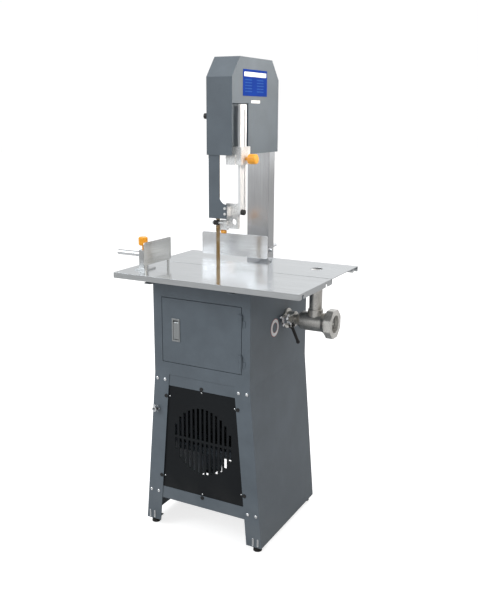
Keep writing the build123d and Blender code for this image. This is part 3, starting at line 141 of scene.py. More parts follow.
def studio_world():
    """White world whose brightness changes with compass direction, in soft bands."""
    world = bpy.data.worlds.new("studio")
    world.use_nodes = True
    tree = world.node_tree
    place = tree.nodes.new("ShaderNodeTexCoord")
    gradient = tree.nodes.new("ShaderNodeTexGradient")
    gradient.gradient_type = "RADIAL"
    tree.links.new(place.outputs["Generated"], gradient.inputs["Vector"])
    ramp = tree.nodes.new("ShaderNodeValToRGB")
    ramp.color_ramp.interpolation = "EASE"
    stops = ramp.color_ramp.elements
    while len(stops) < len(WORLD_BANDS):
        stops.new(0.5)
    for stop, (place_, grey) in zip(stops, WORLD_BANDS):
        warm = 0.06 if 0.35 < place_ < 0.62 else -0.01
        stop.position = place_
        stop.color = (grey * (1 + warm), grey, grey * (1 - warm), 1)
    tree.links.new(gradient.outputs["Color"], ramp.inputs["Fac"])
    path = tree.nodes.new("ShaderNodeLightPath")
    mix = tree.nodes.new("ShaderNodeMix")
    mix.data_type = "RGBA"
    mix.inputs[7].default_value = (1.1, 1.1, 1.1, 1)
    tree.links.new(path.outputs["Is Camera Ray"], mix.inputs[0])
    tree.links.new(ramp.outputs["Color"], mix.inputs[6])
    tree.links.new(mix.outputs[2], tree.nodes["Background"].inputs["Color"])
    tree.nodes["Background"].inputs["Strength"].default_value = 0.92
    scene.world = world


floor = floor_plane()
studio_world()
for light_name, settings in LIGHTS.items():
    area_light(light_name, *settings)
scene.view_settings.view_transform = "Standard"
print("lights:", ", ".join(LIGHTS))

# %% [markdown]
# A small language for finishes
#
# Every finish is a node tree, and long node trees are hard to read. The class below wraps one socket, so that
# `0.3 + 0.2 * dust` in Python adds the Math nodes for that sum. All other nodes come from one method, which
# takes the node's type, its settings and its sockets.


# %% Shader terms
class Term:
    """One output socket that takes part in sums."""

    def __init__(self, finish, socket):
        self.finish = finish
        self.socket = socket

    def _math(self, operation, first, second):
        return self.finish.node("ShaderNodeMath", {"operation": operation}, {0: first, 1: second})

    def __add__(self, other):
        return self._math("ADD", self, other)

    def __sub__(self, other):
        return self._math("SUBTRACT", self, other)

    def __mul__(self, other):
        return self._math("MULTIPLY", self, other)

    def __rsub__(self, other):
        return self._math("SUBTRACT", other, self)

    __radd__ = __add__
    __rmul__ = __mul__


class Finish:
    """A material under construction."""

    def __init__(self, name):
        self.material = bpy.data.materials.new(name)
        self.material.use_nodes = True
        self.tree = self.material.node_tree
        self.shader = self.tree.nodes["Principled BSDF"]

    def node(self, kind, settings=None, sockets=None, out=0):
        """Adds a node: its settings first, then the values or links of its sockets."""
        made = self.tree.nodes.new(kind)
        for key, value in (settings or {}).items():
            if key == "stops":
                self._stops(made.color_ramp, value)
            else:
                setattr(made, key, value)
        for key, value in (sockets or {}).items():
            self._fill(made.inputs[key], value)
        return Term(self, made.outputs[out])

    def _stops(self, ramp, stops):
        while len(ramp.elements) < len(stops):
            ramp.elements.new(0.5)
        for element, (place_, grey) in zip(ramp.elements, stops):
            element.position = place_
            element.color = (grey, grey, grey, 1)

    def _fill(self, socket, value):
        if isinstance(value, Term):
            self.tree.links.new(value.socket, socket)
        else:
            socket.default_value = value

    def set(self, **sockets):
        """Sets the shader's own sockets; Base_Color means Base Color."""
        for key, value in sockets.items():
            self._fill(self.shader.inputs[key.replace("_", " ")], value)
        return self.material

    def here(self, stretch=(1, 1, 1)):
        """Object coordinates in metres, scaled along each axis."""
        place_ = self.node("ShaderNodeTexCoord", out="Object")
        return self.node("ShaderNodeMapping", None, {"Vector": place_, "Scale": stretch})

    def noise(self, scale, detail=3.0, rough=0.5, stretch=(1, 1, 1)):
        sockets = {"Vector": self.here(stretch), "Scale": scale, "Detail": detail, "Roughness": rough}
        return self.node("ShaderNodeTexNoise", None, sockets)

    def ramp(self, value, low, high):
        """0 below low and 1 above high."""
        return self.node("ShaderNodeMapRange", {"interpolation_type": "SMOOTHSTEP"},
                         {0: value, 1: low, 2: high, 3: 0.0, 4: 1.0})

    def blend(self, share, first, second):
        """Colour from first to second as share goes from 0 to 1."""
        return self.node("ShaderNodeMix", {"data_type": "RGBA"}, {0: share, 6: first, 7: second}, 2)

    def height(self):
        """Z of the point, in metres."""
        return self.node("ShaderNodeSeparateXYZ", None, {0: self.here()}, 2)

    def soft_normal(self, radius):
        """The normal as if every edge were rounded to this radius."""
        return self.node("ShaderNodeBevel", {"samples": 6}, {"Radius": radius}, "Normal")

    def worn_edge(self, radius):
        """Near 1 on outer and inner edges, 0 on flats."""
        flat = self.node("ShaderNodeNewGeometry", out="True Normal")
        both = {0: self.soft_normal(radius), 1: flat}
        facing = self.node("ShaderNodeVectorMath", {"operation": "DOT_PRODUCT"}, both, "Value")
        return self.ramp(1 - facing, 0.03, 0.22)

    def bump(self, height, strength, distance, normal=None):
        sockets = {"Height": height, "Strength": strength, "Distance": distance}
        if normal is not None:
            sockets["Normal"] = normal
        return self.node("ShaderNodeBump", None, sockets)


def linear(red, green, blue):
    """A colour given as 0 to 255 screen values."""
    def one(value):
        value = value / 255
        return value / 12.92 if value <= 0.04045 else ((value + 0.055) / 1.055) ** 2.4
    return one(red), one(green), one(blue), 1.0


print("shader helpers ready")

# %% [markdown]
# Powder coat
#
# Powder coat is a thick baked paint. Up close it has orange peel, a fine uneven skin that breaks up
# highlights. Its edges are thin, so they rub lighter, and its lowest part collects dust. A fine noise drives
# the bump, the Bevel node finds the edges, and the height above the floor drives the dust.


# %% Painted finishes
def powder_coat(name, colour, rough=0.42, dust_top=0.25, edge=0.22, shine=0.35):
    f = Finish(name)
    peel = f.noise(900, 2.0)
    cloud = f.noise(7, 4.0, 0.6)
    rub = f.worn_edge(0.0011) * f.ramp(f.noise(60, 3.0), 0.38, 0.66)
    low = 1 - f.ramp(f.height(), 0.0, dust_top)
    dust = low * f.ramp(cloud, 0.35, 0.75)
    dark = [c * 0.90 for c in colour[:3]] + [1.0]
    light = [min(1.0, c * 1.08) for c in colour[:3]] + [1.0]
    base = f.blend(f.ramp(cloud, 0.3, 0.7), dark, light)
    base = f.blend(0.12 * dust, base, linear(150, 145, 136))
    base = f.blend(edge * rub, base, [min(1.0, c * 2.1 + 0.03) for c in colour[:3]] + [1.0])
    normal = f.bump(peel, 0.16, 0.0004, f.soft_normal(0.0009))
    roughness = rough + 0.10 * cloud + 0.18 * dust - 0.06 * rub
    f.set(Coat_Roughness=0.25, Coat_Weight=0.04, Specular_IOR_Level=shine)
    return f.set(Base_Color=base, Roughness=roughness, Normal=normal)


SLATE = linear(93, 102, 110)
finishes = {
    "grey_paint": powder_coat("slate powder coat", SLATE),
    "black_paint": powder_coat("black powder coat", linear(22, 25, 28), 0.5, 0.25, 0.12, 0.15),
    "motor_paint": powder_coat("motor enamel", linear(30, 33, 36), 0.45, 0.1, 0.3, 0.2),
}
print("painted finishes:", len(finishes))

# %% [markdown]
# Sheet steel, chrome and castings
#
# Stainless sheet is rolled, then brushed in one direction. The lines are far too fine to see one by one, so
# what shows is a soft streak in brightness and a highlight drawn out across the lines. A noise stretched a
# hundred times along the brushing gives both. Fingers and cloths leave wide, cloudy patches that are rougher.
# The guide bar and the alloy castings are paler and only partly metallic, as bead-blasted aluminium looks.


# %% Metal finishes
def brushed(name, colour, axis, rough, grain=0.10, smudge=0.10, metal=1.0, radius=0.0008):
    """Metal with brush lines along one axis: 0, 1 or 2."""
    f = Finish(name)
    stretch = [1.0, 1.0, 1.0]
    stretch[axis] = 0.012
    lines = f.noise(1300, 2.0, 0.6, stretch)
    broad = f.noise(150, 2.0, 0.5, stretch)
    cloud = f.noise(9, 4.0, 0.62)
    scratch = f.ramp(f.noise(420, 3.0, 0.7, [0.25 if k == axis else 1.0 for k in range(3)]), 0.70, 0.80)
    dark = [c * 0.80 for c in colour[:3]] + [1.0]
    shade = 0.55 * lines + 0.30 * broad + 0.15 * cloud
    base = f.blend(f.ramp(shade, 0.30, 0.70), dark, colour)
    roughness = rough + grain * lines + smudge * f.ramp(cloud, 0.45, 0.75) + 0.04 * scratch
    normal = f.bump(lines, 0.05, 0.0002, f.soft_normal(radius))
    return f.set(Base_Color=base, Metallic=metal, Roughness=roughness, Normal=normal)


def chrome(name, colour):
    """Bright plating with faint haze and a few dull specks."""
    f = Finish(name)
    haze = f.noise(40, 4.0, 0.6)
    speck = f.ramp(f.noise(500, 2.0), 0.66, 0.72)
    base = f.blend(0.5 * f.ramp(haze, 0.4, 0.8) + 0.3 * speck, colour, [c * 0.75 for c in colour[:3]] + [1.0])
    normal = f.bump(haze, 0.03, 0.0005, f.soft_normal(0.0006))
    return f.set(Base_Color=base, Metallic=1.0, Roughness=0.07 + 0.10 * haze + 0.2 * speck, Normal=normal)


def casting(name, colour, rough, grain=260, depth=0.0006, metal=1.0):
    """Sand-cast metal: a pebbled skin, darker in its pits, brighter along rubbed edges."""
    f = Finish(name)
    pits = f.noise(grain, 4.0, 0.6)
    cloud = f.noise(22, 4.0, 0.6)
    rub = f.worn_edge(0.0016)
    shade = f.ramp(0.6 * pits + 0.4 * cloud, 0.35, 0.65)
    base = f.blend(shade, [c * 0.62 for c in colour[:3]] + [1.0], colour)
    base = f.blend(0.6 * rub, base, [min(1.0, c * 1.25) for c in colour[:3]] + [1.0])
    normal = f.bump(pits, 0.30, depth, f.soft_normal(0.0014))
    return f.set(Base_Color=base, Metallic=metal, Roughness=rough + 0.18 * pits - 0.10 * rub, Normal=normal)


finishes.update({
    "stainless": brushed("brushed stainless", linear(205, 207, 208), 1, 0.20),
    "mirror_steel": brushed("polished stainless along X", linear(214, 217, 219), 0, 0.10, 0.07, 0.10),
    "column_steel": brushed("polished stainless along Z", linear(214, 215, 217), 2, 0.12, 0.08, 0.08),
    "fence_steel": brushed("polished fence", linear(246, 247, 249), 0, 0.15, 0.05, 0.06),
    "plate_steel": brushed("polished plate", linear(236, 236, 233), 1, 0.16, 0.05, 0.05),
    "satin_alloy": brushed("satin aluminium along Z", linear(246, 247, 248), 2, 0.34, 0.06, 0.05, 0.25),
    "satin_zinc": brushed("satin zinc along Z", linear(166, 169, 170), 2, 0.30, 0.08, 0.05),
    "machined_steel": brushed("turned steel", linear(178, 178, 178), 0, 0.26, 0.12),
    "chrome": chrome("chrome plate", linear(225, 227, 229)),
    "cast_steel": casting("tinned casting", linear(224, 222, 217), 0.27, 320, 0.0003),
    "ring_steel": casting("tinned ring nut", linear(244, 242, 237), 0.26, 320, 0.0003, 0.8),
    "cast_alloy": casting("cast alloy", linear(246, 247, 247), 0.36, 300, 0.0003, 0.45),
})
print("finishes so far:", len(finishes))

# %% [markdown]
# The blade's steel
#
# A band that has cut is never bright. Oil and heat leave brown and straw stains that run across the band, and
# the tooth edge is filed clean. Stains come from a noise with long patches along the band's length.


# %% Blade steel
def blade_steel():
    f = Finish("oiled blade steel")
    stain = f.noise(28, 4.0, 0.6, (3.0, 1.0, 1.0))
    lines = f.noise(1500, 2.0, 0.6, (1.0, 0.02, 0.02))
    base = f.blend(f.ramp(stain, 0.36, 0.64), linear(148, 119, 78), linear(176, 160, 134))
    base = f.blend(0.4 * lines, base, linear(96, 80, 58))
    normal = f.bump(lines, 0.08, 0.0001)
    return f.set(Base_Color=base, Metallic=0.9, Roughness=0.30 + 0.22 * stain, Normal=normal)


finishes["blade_steel"] = blade_steel()
print("blade:", finishes["blade_steel"].name)

# %% [markdown]
# Plastics and rubber
#
# Moulded knobs are glossy with a faint flow pattern, and their raised flutes rub paler. Black nylon is matt
# and finely grained. Rubber is the darkest and dullest, and takes dust. One function makes all of them,
# because they differ only in numbers. The studio floor glows for the camera alone, so that it looks evenly
# white without lighting the machine from below.


# %% Moulded finishes
def moulded(name, colour, rough, grain, depth, dusty=0.0, coat=0.0, shine=0.4):
    f = Finish(name)
    skin = f.noise(grain, 3.0, 0.6)
    cloud = f.noise(30, 3.0)
    rub = f.worn_edge(0.0012)
    base = f.blend(f.ramp(cloud, 0.3, 0.7), [c * 0.85 for c in colour[:3]] + [1.0], colour)
    base = f.blend(0.35 * rub, base, [min(1.0, c * 1.3 + 0.02) for c in colour[:3]] + [1.0])
    base = f.blend(dusty * f.ramp(skin, 0.4, 0.8), base, linear(120, 116, 110))
    normal = f.bump(skin, 0.2, depth, f.soft_normal(0.0008))
    roughness = rough + 0.12 * skin + 0.08 * cloud
    f.set(Coat_Weight=coat, Coat_Roughness=0.12, Specular_IOR_Level=shine)
    return f.set(Base_Color=base, Roughness=roughness, Normal=normal)


finishes.update({
    "orange_plastic": moulded("orange knob plastic", linear(248, 168, 34), 0.26, 700, 0.0001, 0.0, 0.3),
    "black_plastic": moulded("black nylon", linear(30, 30, 31), 0.42, 1100, 0.0002, 0.05),
    "red_plastic": moulded("red button plastic", linear(196, 30, 24), 0.28, 700, 0.0001, 0.0, 0.3),
    "green_plastic": moulded("green button plastic", linear(24, 128, 58), 0.28, 700, 0.0001, 0.0, 0.3),
    "rubber": moulded("black rubber", linear(24, 24, 24), 0.66, 800, 0.0003, 0.16),
    "label_white": moulded("white label film", linear(236, 238, 240), 0.34, 900, 0.00005),
    "label_blue": moulded("blue label film", linear(1, 46, 132), 0.50, 900, 0.00005, 0.0, 0.0, 0.1),
    "label_red": moulded("red label ink", linear(186, 60, 52), 0.40, 900, 0.00005),
    "label_pale": moulded("pale label ink", linear(36, 78, 146), 0.50, 900, 0.00005, 0.0, 0.0, 0.1),
})
white = Finish("studio floor")
seen = white.node("ShaderNodeLightPath", out="Is Camera Ray")
glow = white.blend(seen, (0, 0, 0, 1), (1, 1, 1, 1))
white.set(Base_Color=linear(196, 196, 196), Roughness=0.9, Emission_Color=glow, Emission_Strength=0.75)
floor.data.materials.append(white.material)
print("finishes:", len(finishes))

# %% [markdown]
# Dressing the CAD nodes
#
# The record names a material slot for every node, so one loop dresses them all. A few nodes share a slot but
# are finished another way: the column stands upright, so its lines run along Z, and the pusher's plate is
# polished where the tables are only brushed.

# %% Finish of each CAD node
OTHER_LOOK = {
    "column": "column_steel",
    "guide_bar": "satin_alloy",
    "pusher_plate": "plate_steel",
    "fence_plate": "fence_steel",
    "ring_nut": "ring_steel",
    "latch_plate": "satin_zinc",
    "latch_paddle": "satin_zinc",
}
slot_of = {part["node"]: part["material_slot"] for part in frame["record"]["subparts"]}
for node_name, node in nodes.items():
    look = finishes[OTHER_LOOK.get(node_name, slot_of[node_name])]
    for holder in node.material_slots:
        holder.material = look
    if not node.material_slots:
        node.data.materials.append(look)
print("dressed nodes:", len(nodes))

# %% [markdown]
# Mesh helpers
#
# Small parts are turned or folded shapes. `turned` spins a half profile round an axis, `mesh_object` gives a
# mesh a name and a finish, and `as_piece` gives it a body to ride on. Each piece keeps its object at the
# origin.


# %% Mesh helpers
def mesh_object(name, bm, finish):
    bmesh.ops.remove_doubles(bm, verts=bm.verts, dist=1e-7)
    bmesh.ops.recalc_face_normals(bm, faces=bm.faces)
    mesh = bpy.data.meshes.new(name)
    bm.to_mesh(mesh)
    bm.free()
    mesh.materials.append(finishes[finish])
    made = bpy.data.objects.new(name, mesh)
    scene.collection.objects.link(made)
    return made


def as_piece(piece, body, slot, *replaced):
    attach(piece, body)
    if replaced:
        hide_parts(*replaced)
    return piece


def turned(profile, steps=32):
    """A closed shape turned about Z from (radius, height) points, from the axis back to the axis."""
    bm = bmesh.new()
    rings = []
    for radius, height in profile:
        if radius < 1e-9:
            rings.append([bm.verts.new((0, 0, height))])
            continue
        angles = [2 * math.pi * k / steps for k in range(steps)]
        rings.append([bm.verts.new((radius * math.cos(a), radius * math.sin(a), height)) for a in angles])
    for low, high in zip(rings, rings[1:]):
        for k in range(steps):
            after = (k + 1) % steps
            corners = [low[k % len(low)], low[after % len(low)], high[after % len(high)], high[k % len(high)]]
            kept = list(dict.fromkeys(corners))
            if len(kept) > 2:
                bm.faces.new(kept)
    return bm


def solids(node_name):
    """Each separate solid of a CAD node, as its lowest and highest corner."""
    bm = bmesh.new()
    bm.from_mesh(nodes[node_name].data)
    bmesh.ops.remove_doubles(bm, verts=bm.verts, dist=1e-6)
    left = set(bm.verts)
    found = []
    while left:
        wave, island = [left.pop()], []
        while wave:
            vert = wave.pop()
            island.append(vert.co.copy())
            for edge in vert.link_edges:
                other = edge.other_vert(vert)
                if other in left:
                    left.remove(other)
                    wave.append(other)
        low = Vector([min(co[k] for co in island) for k in range(3)])
        high = Vector([max(co[k] for co in island) for k in range(3)])
        found.append((low, high))
    bm.free()
    return sorted(found, key=lambda pair: [round(v, 5) for v in pair[0]])


print("solids of stand_fasteners:", len(solids("stand_fasteners")))

# %% [markdown]
# Repeats with Geometry Nodes
#
# Bolts, clips, rivets and teeth are one shape in many places. The tree below takes points that carry a turn,
# puts the shape on each, makes the copies real and sets their finish. It is built once and used for all of
# them, and the modifier's result is then turned into a plain mesh.


# %% The repeating tree
def repeat_tree():
    tree = bpy.data.node_groups.new("repeat shape", "GeometryNodeTree")
    face = tree.interface
    face.new_socket("Geometry", in_out="INPUT", socket_type="NodeSocketGeometry")
    face.new_socket("Shape", in_out="INPUT", socket_type="NodeSocketObject")
    face.new_socket("Size", in_out="INPUT", socket_type="NodeSocketFloat")
    face.new_socket("Finish", in_out="INPUT", socket_type="NodeSocketMaterial")
    face.new_socket("Geometry", in_out="OUTPUT", socket_type="NodeSocketGeometry")
    add, link = tree.nodes.new, tree.links.new
    start, end = add("NodeGroupInput"), add("NodeGroupOutput")
    info = add("GeometryNodeObjectInfo")
    turn = add("GeometryNodeInputNamedAttribute")
    turn.data_type = "FLOAT_VECTOR"
    turn.inputs["Name"].default_value = "turn"
    to_turn = add("FunctionNodeEulerToRotation")
    copies = add("GeometryNodeInstanceOnPoints")
    real = add("GeometryNodeRealizeInstances")
    paint = add("GeometryNodeSetMaterial")
    link(start.outputs["Geometry"], copies.inputs["Points"])
    link(start.outputs["Shape"], info.inputs["Object"])
    link(info.outputs["Geometry"], copies.inputs["Instance"])
    link(turn.outputs["Attribute"], to_turn.inputs["Euler"])
    link(to_turn.outputs["Rotation"], copies.inputs["Rotation"])
    link(start.outputs["Size"], copies.inputs["Scale"])
    link(copies.outputs["Instances"], real.inputs["Geometry"])
    link(real.outputs["Geometry"], paint.inputs["Geometry"])
    link(start.outputs["Finish"], paint.inputs["Material"])
    link(paint.outputs["Geometry"], end.inputs["Geometry"])
    return tree


REPEAT = repeat_tree()


def repeat(name, shape, places, finish, size=1.0):
    """Copies of shape, an object, at places: (point, turn) pairs. The shape itself is removed."""
    mesh = bpy.data.meshes.new(name + " points")
    mesh.from_pydata([point for point, _ in places], [], [])
    attribute = mesh.attributes.new("turn", "FLOAT_VECTOR", "POINT")
    attribute.data.foreach_set("vector", [v for _, turn in places for v in turn])
    carrier = bpy.data.objects.new(name, mesh)
    scene.collection.objects.link(carrier)
    modifier = carrier.modifiers.new("repeat", "NODES")
    modifier.node_group = REPEAT
    names = {item.name: item.identifier for item in REPEAT.interface.items_tree if item.in_out == "INPUT"}
    modifier[names["Shape"]] = shape
    modifier[names["Size"]] = size
    modifier[names["Finish"]] = finishes[finish]
    ready = carrier.evaluated_get(bpy.context.evaluated_depsgraph_get())
    plain = bpy.data.meshes.new_from_object(ready)
    carrier.modifiers.remove(modifier)
    carrier.data = plain
    plain.name = name
    bpy.data.objects.remove(shape)
    print(name, "copies:", len(places), "faces:", len(plain.polygons))
    return carrier


# %% [markdown]
# Bolts, screws and straps of the stand
#
# The stand is held by domed bolts with a hexagon recess. Two small screws sit by each clip, and slotted
# straps carry the feet. The CAD node has plain stubs in the right places. The new pieces take their places
# from those stubs and stand for the node.


# %% Stand fasteners
def domed_bolt(name, radius, height, sides):
    """Dome with a recess in its top, standing along +Z with its seat at 0."""
    bore = radius * 0.42
    arc = [math.radians(a) for a in (0, 22, 44, 62)]
    dome = [(radius * math.cos(a), height * (0.25 + 0.75 * math.sin(a) / math.sin(arc[-1]))) for a in arc]
    rim = [(bore, height), (bore, height * 0.45), (0, height * 0.38)]
    bm = turned([(0, 0), (radius, 0)] + dome + rim, sides)
    return mesh_object(name, bm, "chrome")


def slot_strap(name, width, length, depth):
    """Upright strap with round ends and a raised rim, facing -Y, centred on its back face."""
    bm = bmesh.new()
    steps = 10
    rings = []
    rim = ((0, 0), (0, -depth * 0.8), (0.7 * MM, -depth), (1.6 * MM, -depth), (1.9 * MM, -depth * 0.5))
    for shrink, y in rim:
        radius = width / 2 - shrink
        reach = length / 2 - width / 2
        ring = []
        for end in (1, -1):
            for k in range(steps + 1):
                a = math.pi * k / steps
                out, up = radius * math.cos(a), reach + radius * math.sin(a)
                ring.append(bm.verts.new((end * out, y, end * up)))
        rings.append(ring)
    for low, high in zip(rings, rings[1:]):
        for k in range(len(low)):
            after = (k + 1) % len(low)
            bm.faces.new([low[k], low[after], high[after], high[k]])
    bm.faces.new(rings[0])
    bm.faces.new(rings[-1])
    return mesh_object(name, bm, "chrome")


FRONT, BACK = (math.radians(90), 0, 0), (math.radians(-90), 0, 0)


def sorted_fasteners():
    """Places of the bolts, small screws and straps, from the sizes of the CAD stubs."""
    groups = {"bolts": [], "screws": [], "straps": []}
    for low, high in solids("stand_fasteners"):
        size, middle = high - low, (low + high) / 2
        faces_back = middle.y > 0.05
        seat = Vector((middle.x, low.y if faces_back else high.y, middle.z))
        turn = BACK if faces_back else FRONT
        if size.z > 20 * MM:
            groups["straps"].append((seat, (0, 0, 0)))
        elif size.z > 8 * MM:
            groups["bolts"].append((seat, turn))
        else:
            groups["screws"].append((seat, turn))
    return groups


fasteners = sorted_fasteners()
bolts = repeat("stand_bolts", domed_bolt("bolt", 6 * MM, 3.5 * MM, 24), fasteners["bolts"], "chrome")
as_piece(bolts, "frame", "chrome", "stand_fasteners")
screws = repeat("clip_screws", domed_bolt("screw", 3 * MM, 2.2 * MM, 18), fasteners["screws"], "chrome")
as_piece(screws, "frame", "chrome")
straps = repeat("foot_straps", slot_strap("strap", 7 * MM, 28 * MM, 2 * MM), fasteners["straps"], "chrome")
as_piece(straps, "frame", "chrome")

# %% [markdown]
# Panel clips and feet
#
# The fan panel is held by round black clips, each with a coin slot. The feet are rubber cups with a lip at
# the floor and ribs round the side, which give as they are pressed. Both are turned profiles.


# %% Clips and feet
def clip(name, radius, height):
    rim = [(radius * 0.93, height * 0.85), (radius * 0.75, height)]
    steps = [(0, 0), (radius, 0), (radius, height * 0.55)] + rim
    bowl = [(radius * 0.5, height), (radius * 0.42, height * 0.75), (0, height * 0.7)]
    return mesh_object(name, turned(steps + bowl, 28), "black_plastic")


def foot(name, radius, height):
    """Rubber cup with three grooves, standing on Z = 0."""
    side = [(0, 0), (radius * 0.82, 0), (radius, height * 0.08), (radius, height * 0.20)]
    for k in range(3):
        z = height * (0.28 + 0.20 * k)
        side += [(radius * 0.90, z), (radius * 0.90, z + height * 0.06), (radius * 0.97, z + height * 0.10),
                 (radius * 0.97, z + height * 0.14)]
    return mesh_object(name, turned(side + [(radius * 0.9, height), (0, height)], 36), "rubber")


clip_places = []
for low, high in solids("panel_clips"):
    clip_places.append(((low.x + high.x) / 2, high.y, (low.z + high.z) / 2))
clip_turns = [(place, FRONT) for place in clip_places]
clips = repeat("panel_clips_turned", clip("clip", 6.5 * MM, 3 * MM), clip_turns, "black_plastic")
as_piece(clips, "frame", "black_plastic", "panel_clips")

foot_boxes = solids("rubber_feet")
foot_radius = (foot_boxes[0][1].x - foot_boxes[0][0].x) / 2
foot_height = foot_boxes[0][1].z
foot_places = [(((low.x + high.x) / 2, (low.y + high.y) / 2, 0), (0, 0, 0)) for low, high in foot_boxes]
feet = repeat("rubber_feet_ribbed", foot("foot", foot_radius, foot_height), foot_places, "rubber")
as_piece(feet, "frame", "rubber", "rubber_feet")

# %% [markdown]
# The lock cap of the blade guide
#
# A black fluted cap sits over the hexagon nut that locks the guide bracket. The nut is the smaller solid of
# the guard's CAD node, so the cap takes its place from there and rides with the guide.


# %% Lock cap
def lock_cap(name, centre, radius, length, flutes=8, steps=64):
    """Fluted cap along +X with a domed end."""
    bm = bmesh.new()
    rings = []
    for share, out in ((1.0, -0.5), (1.0, 0.32), (0.86, 0.46), (0.55, 0.5)):
        ring = []
        for k in range(steps):
            a = 2 * math.pi * k / steps
            reach = radius * share * (1 + 0.05 * math.cos(flutes * a))
            offset = Vector((out * length, reach * math.cos(a), reach * math.sin(a)))
            ring.append(bm.verts.new(centre + offset))
        rings.append(ring)
    for low, high in zip(rings, rings[1:]):
        for k in range(steps):
            after = (k + 1) % steps
            bm.faces.new([low[k], low[after], high[after], high[k]])
    bm.faces.new(rings[0])
    bm.faces.new(rings[-1])
    return mesh_object(name, bm, "black_plastic")


nut_low, nut_high = min(solids("blade_guard"), key=lambda pair: (pair[1] - pair[0]).length)
nut_size = nut_high - nut_low
cap_centre = (nut_low + nut_high) / 2 + Vector((1 * MM, 0, 0))
cap = lock_cap("guide_lock_cap", cap_centre, 0.56 * nut_size.z, nut_size.x)
as_piece(cap, "blade_guide", "black_plastic")
print("nut size:", [round(v, 4) for v in nut_size])

# %% [markdown]
# The blade
#
# The blade is one steel band with its teeth on the left edge, the side from which the sliding table brings
# the meat. The band follows two wheels, so its path is two half circles and two straight runs. The same path
# gives the band its cross-sections and the teeth their places, and Geometry Nodes sets the teeth.

# %% Blade path
blade_low, blade_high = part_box("saw_blade")
THICK = 0.7 * MM
TOOTH = 3.2 * MM
PITCH_WANTED = 6.4 * MM
loop_radius = (blade_high.y - blade_low.y) / 2 - THICK / 2
loop_y = (blade_low.y + blade_high.y) / 2
loop_z = (blade_low.z + loop_radius + THICK / 2, blade_high.z - loop_radius - THICK / 2)
straight = loop_z[1] - loop_z[0]
half_turn = math.pi * loop_radius
loop_length = 2 * (straight + half_turn)


def on_loop(distance):
    """Point (y, z) and turn about X of the band's path at a distance from the front run's foot, going up."""
    distance = distance % loop_length
    if distance < straight:
        return loop_y - loop_radius, loop_z[0] + distance, 0.0
    distance -= straight
    if distance < half_turn:
        a = distance / loop_radius
        return loop_y - loop_radius * math.cos(a), loop_z[1] + loop_radius * math.sin(a), -a
    distance -= half_turn
    if distance < straight:
        return loop_y + loop_radius, loop_z[1] - distance, -math.pi
    a = (distance - straight) / loop_radius
    return loop_y + loop_radius * math.cos(a), loop_z[0] - loop_radius * math.sin(a), -math.pi - a


print("blade length:", round(loop_length, 3), "m")


# %% Band and teeth
def blade_band(name, sections=260):
    bm = bmesh.new()
    gullet = blade_low.x + TOOTH
    rings = []
    for k in range(sections):
        y, z, turn = on_loop(loop_length * k / sections)
        out = Vector((0, -math.cos(turn), -math.sin(turn)))
        middle = Vector((0, y, z))
        ring = []
        for x, side in ((gullet, 1), (blade_high.x, 1), (blade_high.x, -1), (gullet, -1)):
            ring.append(bm.verts.new(middle + Vector((x, 0, 0)) + out * (side * THICK / 2)))
        rings.append(ring)
    for k in range(sections):
        low, high = rings[k], rings[(k + 1) % sections]
        for m in range(4):
            after = (m + 1) % 4
            bm.faces.new([low[m], low[after], high[after], high[m]])
    return mesh_object(name, bm, "blade_steel")


def tooth(name):
    """Hooked tooth pointing to -X: its back slopes, its face is steep."""
    bm = bmesh.new()
    root = 0.4 * MM
    point = [(-TOOTH, -PITCH_WANTED * 0.28), (-TOOTH * 0.9, -PITCH_WANTED * 0.16)]
    back = [(-TOOTH * 0.25, PITCH_WANTED * 0.2), (root, PITCH_WANTED * 0.45)]
    outline = [(root, -PITCH_WANTED * 0.45)] + point + back
    sides = [[bm.verts.new((x, y, z)) for x, z in outline] for y in (-THICK / 2, THICK / 2)]
    bm.faces.new(sides[0])
    bm.faces.new(list(reversed(sides[1])))
    for k in range(len(outline)):
        after = (k + 1) % len(outline)
        bm.faces.new([sides[0][k], sides[0][after], sides[1][after], sides[1][k]])
    return mesh_object(name, bm, "blade_steel")


band = as_piece(blade_band("blade_band"), "frame", "blade_steel", "saw_blade")
tooth_count = round(loop_length / PITCH_WANTED)
tooth_places = []
for k in range(tooth_count):
    y, z, turn = on_loop(loop_length * k / tooth_count)
    tooth_places.append(((blade_low.x + TOOTH, y, z), (turn, 0, 0)))
teeth = as_piece(repeat("blade_teeth", tooth("tooth"), tooth_places, "blade_steel"), "frame", "blade_steel")

# %% [markdown]
# Labels
#
# The head carries a blue plate and a small white sticker, and the cabinet a round white ring with a red
# edge. They have no words. The plate keeps only a layout: one pale bar, and rows of short strokes that stand
# for entries. Films are thin closed sheets with rounded corners, laid on the metal.


# %% Label shapes
def film(name, corners, out, thick, radius, finish, steps=6):
    """Thin sheet facing +X: corners are (y, z) low and high, out is the x of its back."""
    (y0, z0), (y1, z1) = corners
    outline = []
    for cy, cz, start in ((y1, z1, 0), (y0, z1, 90), (y0, z0, 180), (y1, z0, 270)):
        centre_y = cy - radius if cy == y1 else cy + radius
        centre_z = cz - radius if cz == z1 else cz + radius
        for k in range(steps + 1):
            a = math.radians(start + 90 * k / steps)
            outline.append((centre_y + radius * math.cos(a), centre_z + radius * math.sin(a)))
    bm = bmesh.new()
    back = [bm.verts.new((out, y, z)) for y, z in outline]
    front = [bm.verts.new((out + thick, y, z)) for y, z in outline]
    bm.faces.new(list(reversed(back)))
    bm.faces.new(front)
    for k in range(len(outline)):
        after = (k + 1) % len(outline)
        bm.faces.new([back[k], back[after], front[after], front[k]])
    return mesh_object(name, bm, finish)


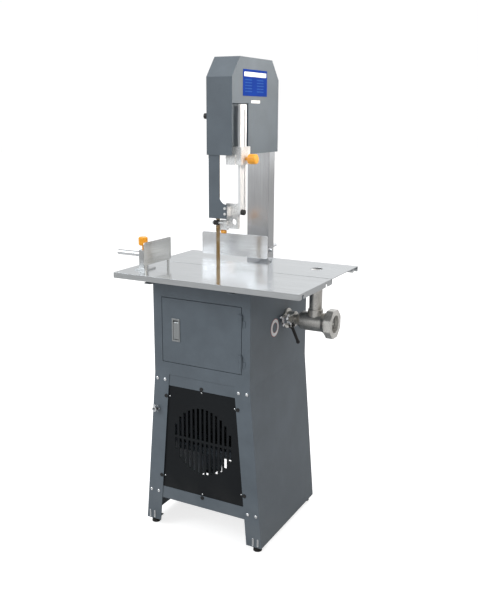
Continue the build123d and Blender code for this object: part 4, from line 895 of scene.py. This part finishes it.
def ring_label(name, centre, inner, outer, thick, finish, steps=48):
    """Flat ring facing +X."""
    profile = [(inner, 0), (outer, 0), (outer, thick), (inner, thick)]
    bm = bmesh.new()
    rings = []
    for radius, out in profile:
        angles = [2 * math.pi * k / steps for k in range(steps)]
        rings.append([bm.verts.new((centre[0] + out, centre[1] + radius * math.cos(a),
                                    centre[2] + radius * math.sin(a))) for a in angles])
    for m in range(4):
        low, high = rings[m], rings[(m + 1) % 4]
        for k in range(steps):
            after = (k + 1) % steps
            bm.faces.new([low[k], low[after], high[after], high[k]])
    return mesh_object(name, bm, finish)


head_low, head_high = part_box("head_housing")
cabinet_low, cabinet_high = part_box("cabinet_body")
print("head's right wall at x =", round(head_high.x, 4))

# %% Head label and sticker
wall = head_high.x
plate_low = (head_low.y + 71 * MM, head_high.z - 119 * MM)
plate_high = (head_low.y + 241 * MM, head_high.z - 37 * MM)
PLATE = 0.5 * MM
FILM = 0.15 * MM
plate = film("data_plate", (plate_low, plate_high), wall, PLATE, 3 * MM, "label_blue")
as_piece(plate, "frame", "grey_paint")
bar_low = (plate_low[0] + 8 * MM, plate_high[1] - 22 * MM)
bar_high = (plate_high[0] - 8 * MM, plate_high[1] - 8 * MM)
bar = film("data_plate_bar", (bar_low, bar_high), wall + PLATE, FILM, 2 * MM, "label_white")
as_piece(bar, "frame", "grey_paint")


def stroke(name, length, height):
    """One printed stroke, centred on the origin, facing +X."""
    corners = ((-length / 2, -height / 2), (length / 2, height / 2))
    return film(name, corners, 0, FILM, height * 0.45, "label_pale", 2)


stroke_places = []
for row in range(5):
    z = plate_high[1] - (32 + 9 * row) * MM
    for column in (0.22, 0.70):
        y = plate_low[0] + column * (plate_high[0] - plate_low[0])
        stroke_places.append(((wall + PLATE, y, z), (0, 0, 0)))
strokes = repeat("data_plate_strokes", stroke("stroke", 48 * MM, 3 * MM), stroke_places, "label_pale")
as_piece(strokes, "frame", "grey_paint")
sticker_low = (head_low.y + 128 * MM, head_high.z - 141 * MM)
sticker_high = (sticker_low[0] + 62 * MM, sticker_low[1] + 9 * MM)
sticker = film("head_sticker", (sticker_low, sticker_high), wall, 0.3 * MM, 1 * MM, "label_white")
as_piece(sticker, "frame", "grey_paint")

# %% Ring label on the cabinet
sign = (cabinet_high.x, cabinet_low.y + 176 * MM, cabinet_low.z + 160 * MM)
SIGN_RINGS = (
    ("sign_edge", 29, 30.4, "label_red"),
    ("sign_ring", 18, 29, "label_white"),
    ("sign_line", 16.8, 18, "label_red"),
)
for sign_name, inner, outer, finish in SIGN_RINGS:
    ring = ring_label(sign_name, sign, inner * MM, outer * MM, 0.3 * MM, finish)
    as_piece(ring, "frame", "grey_paint")
print("labels done")
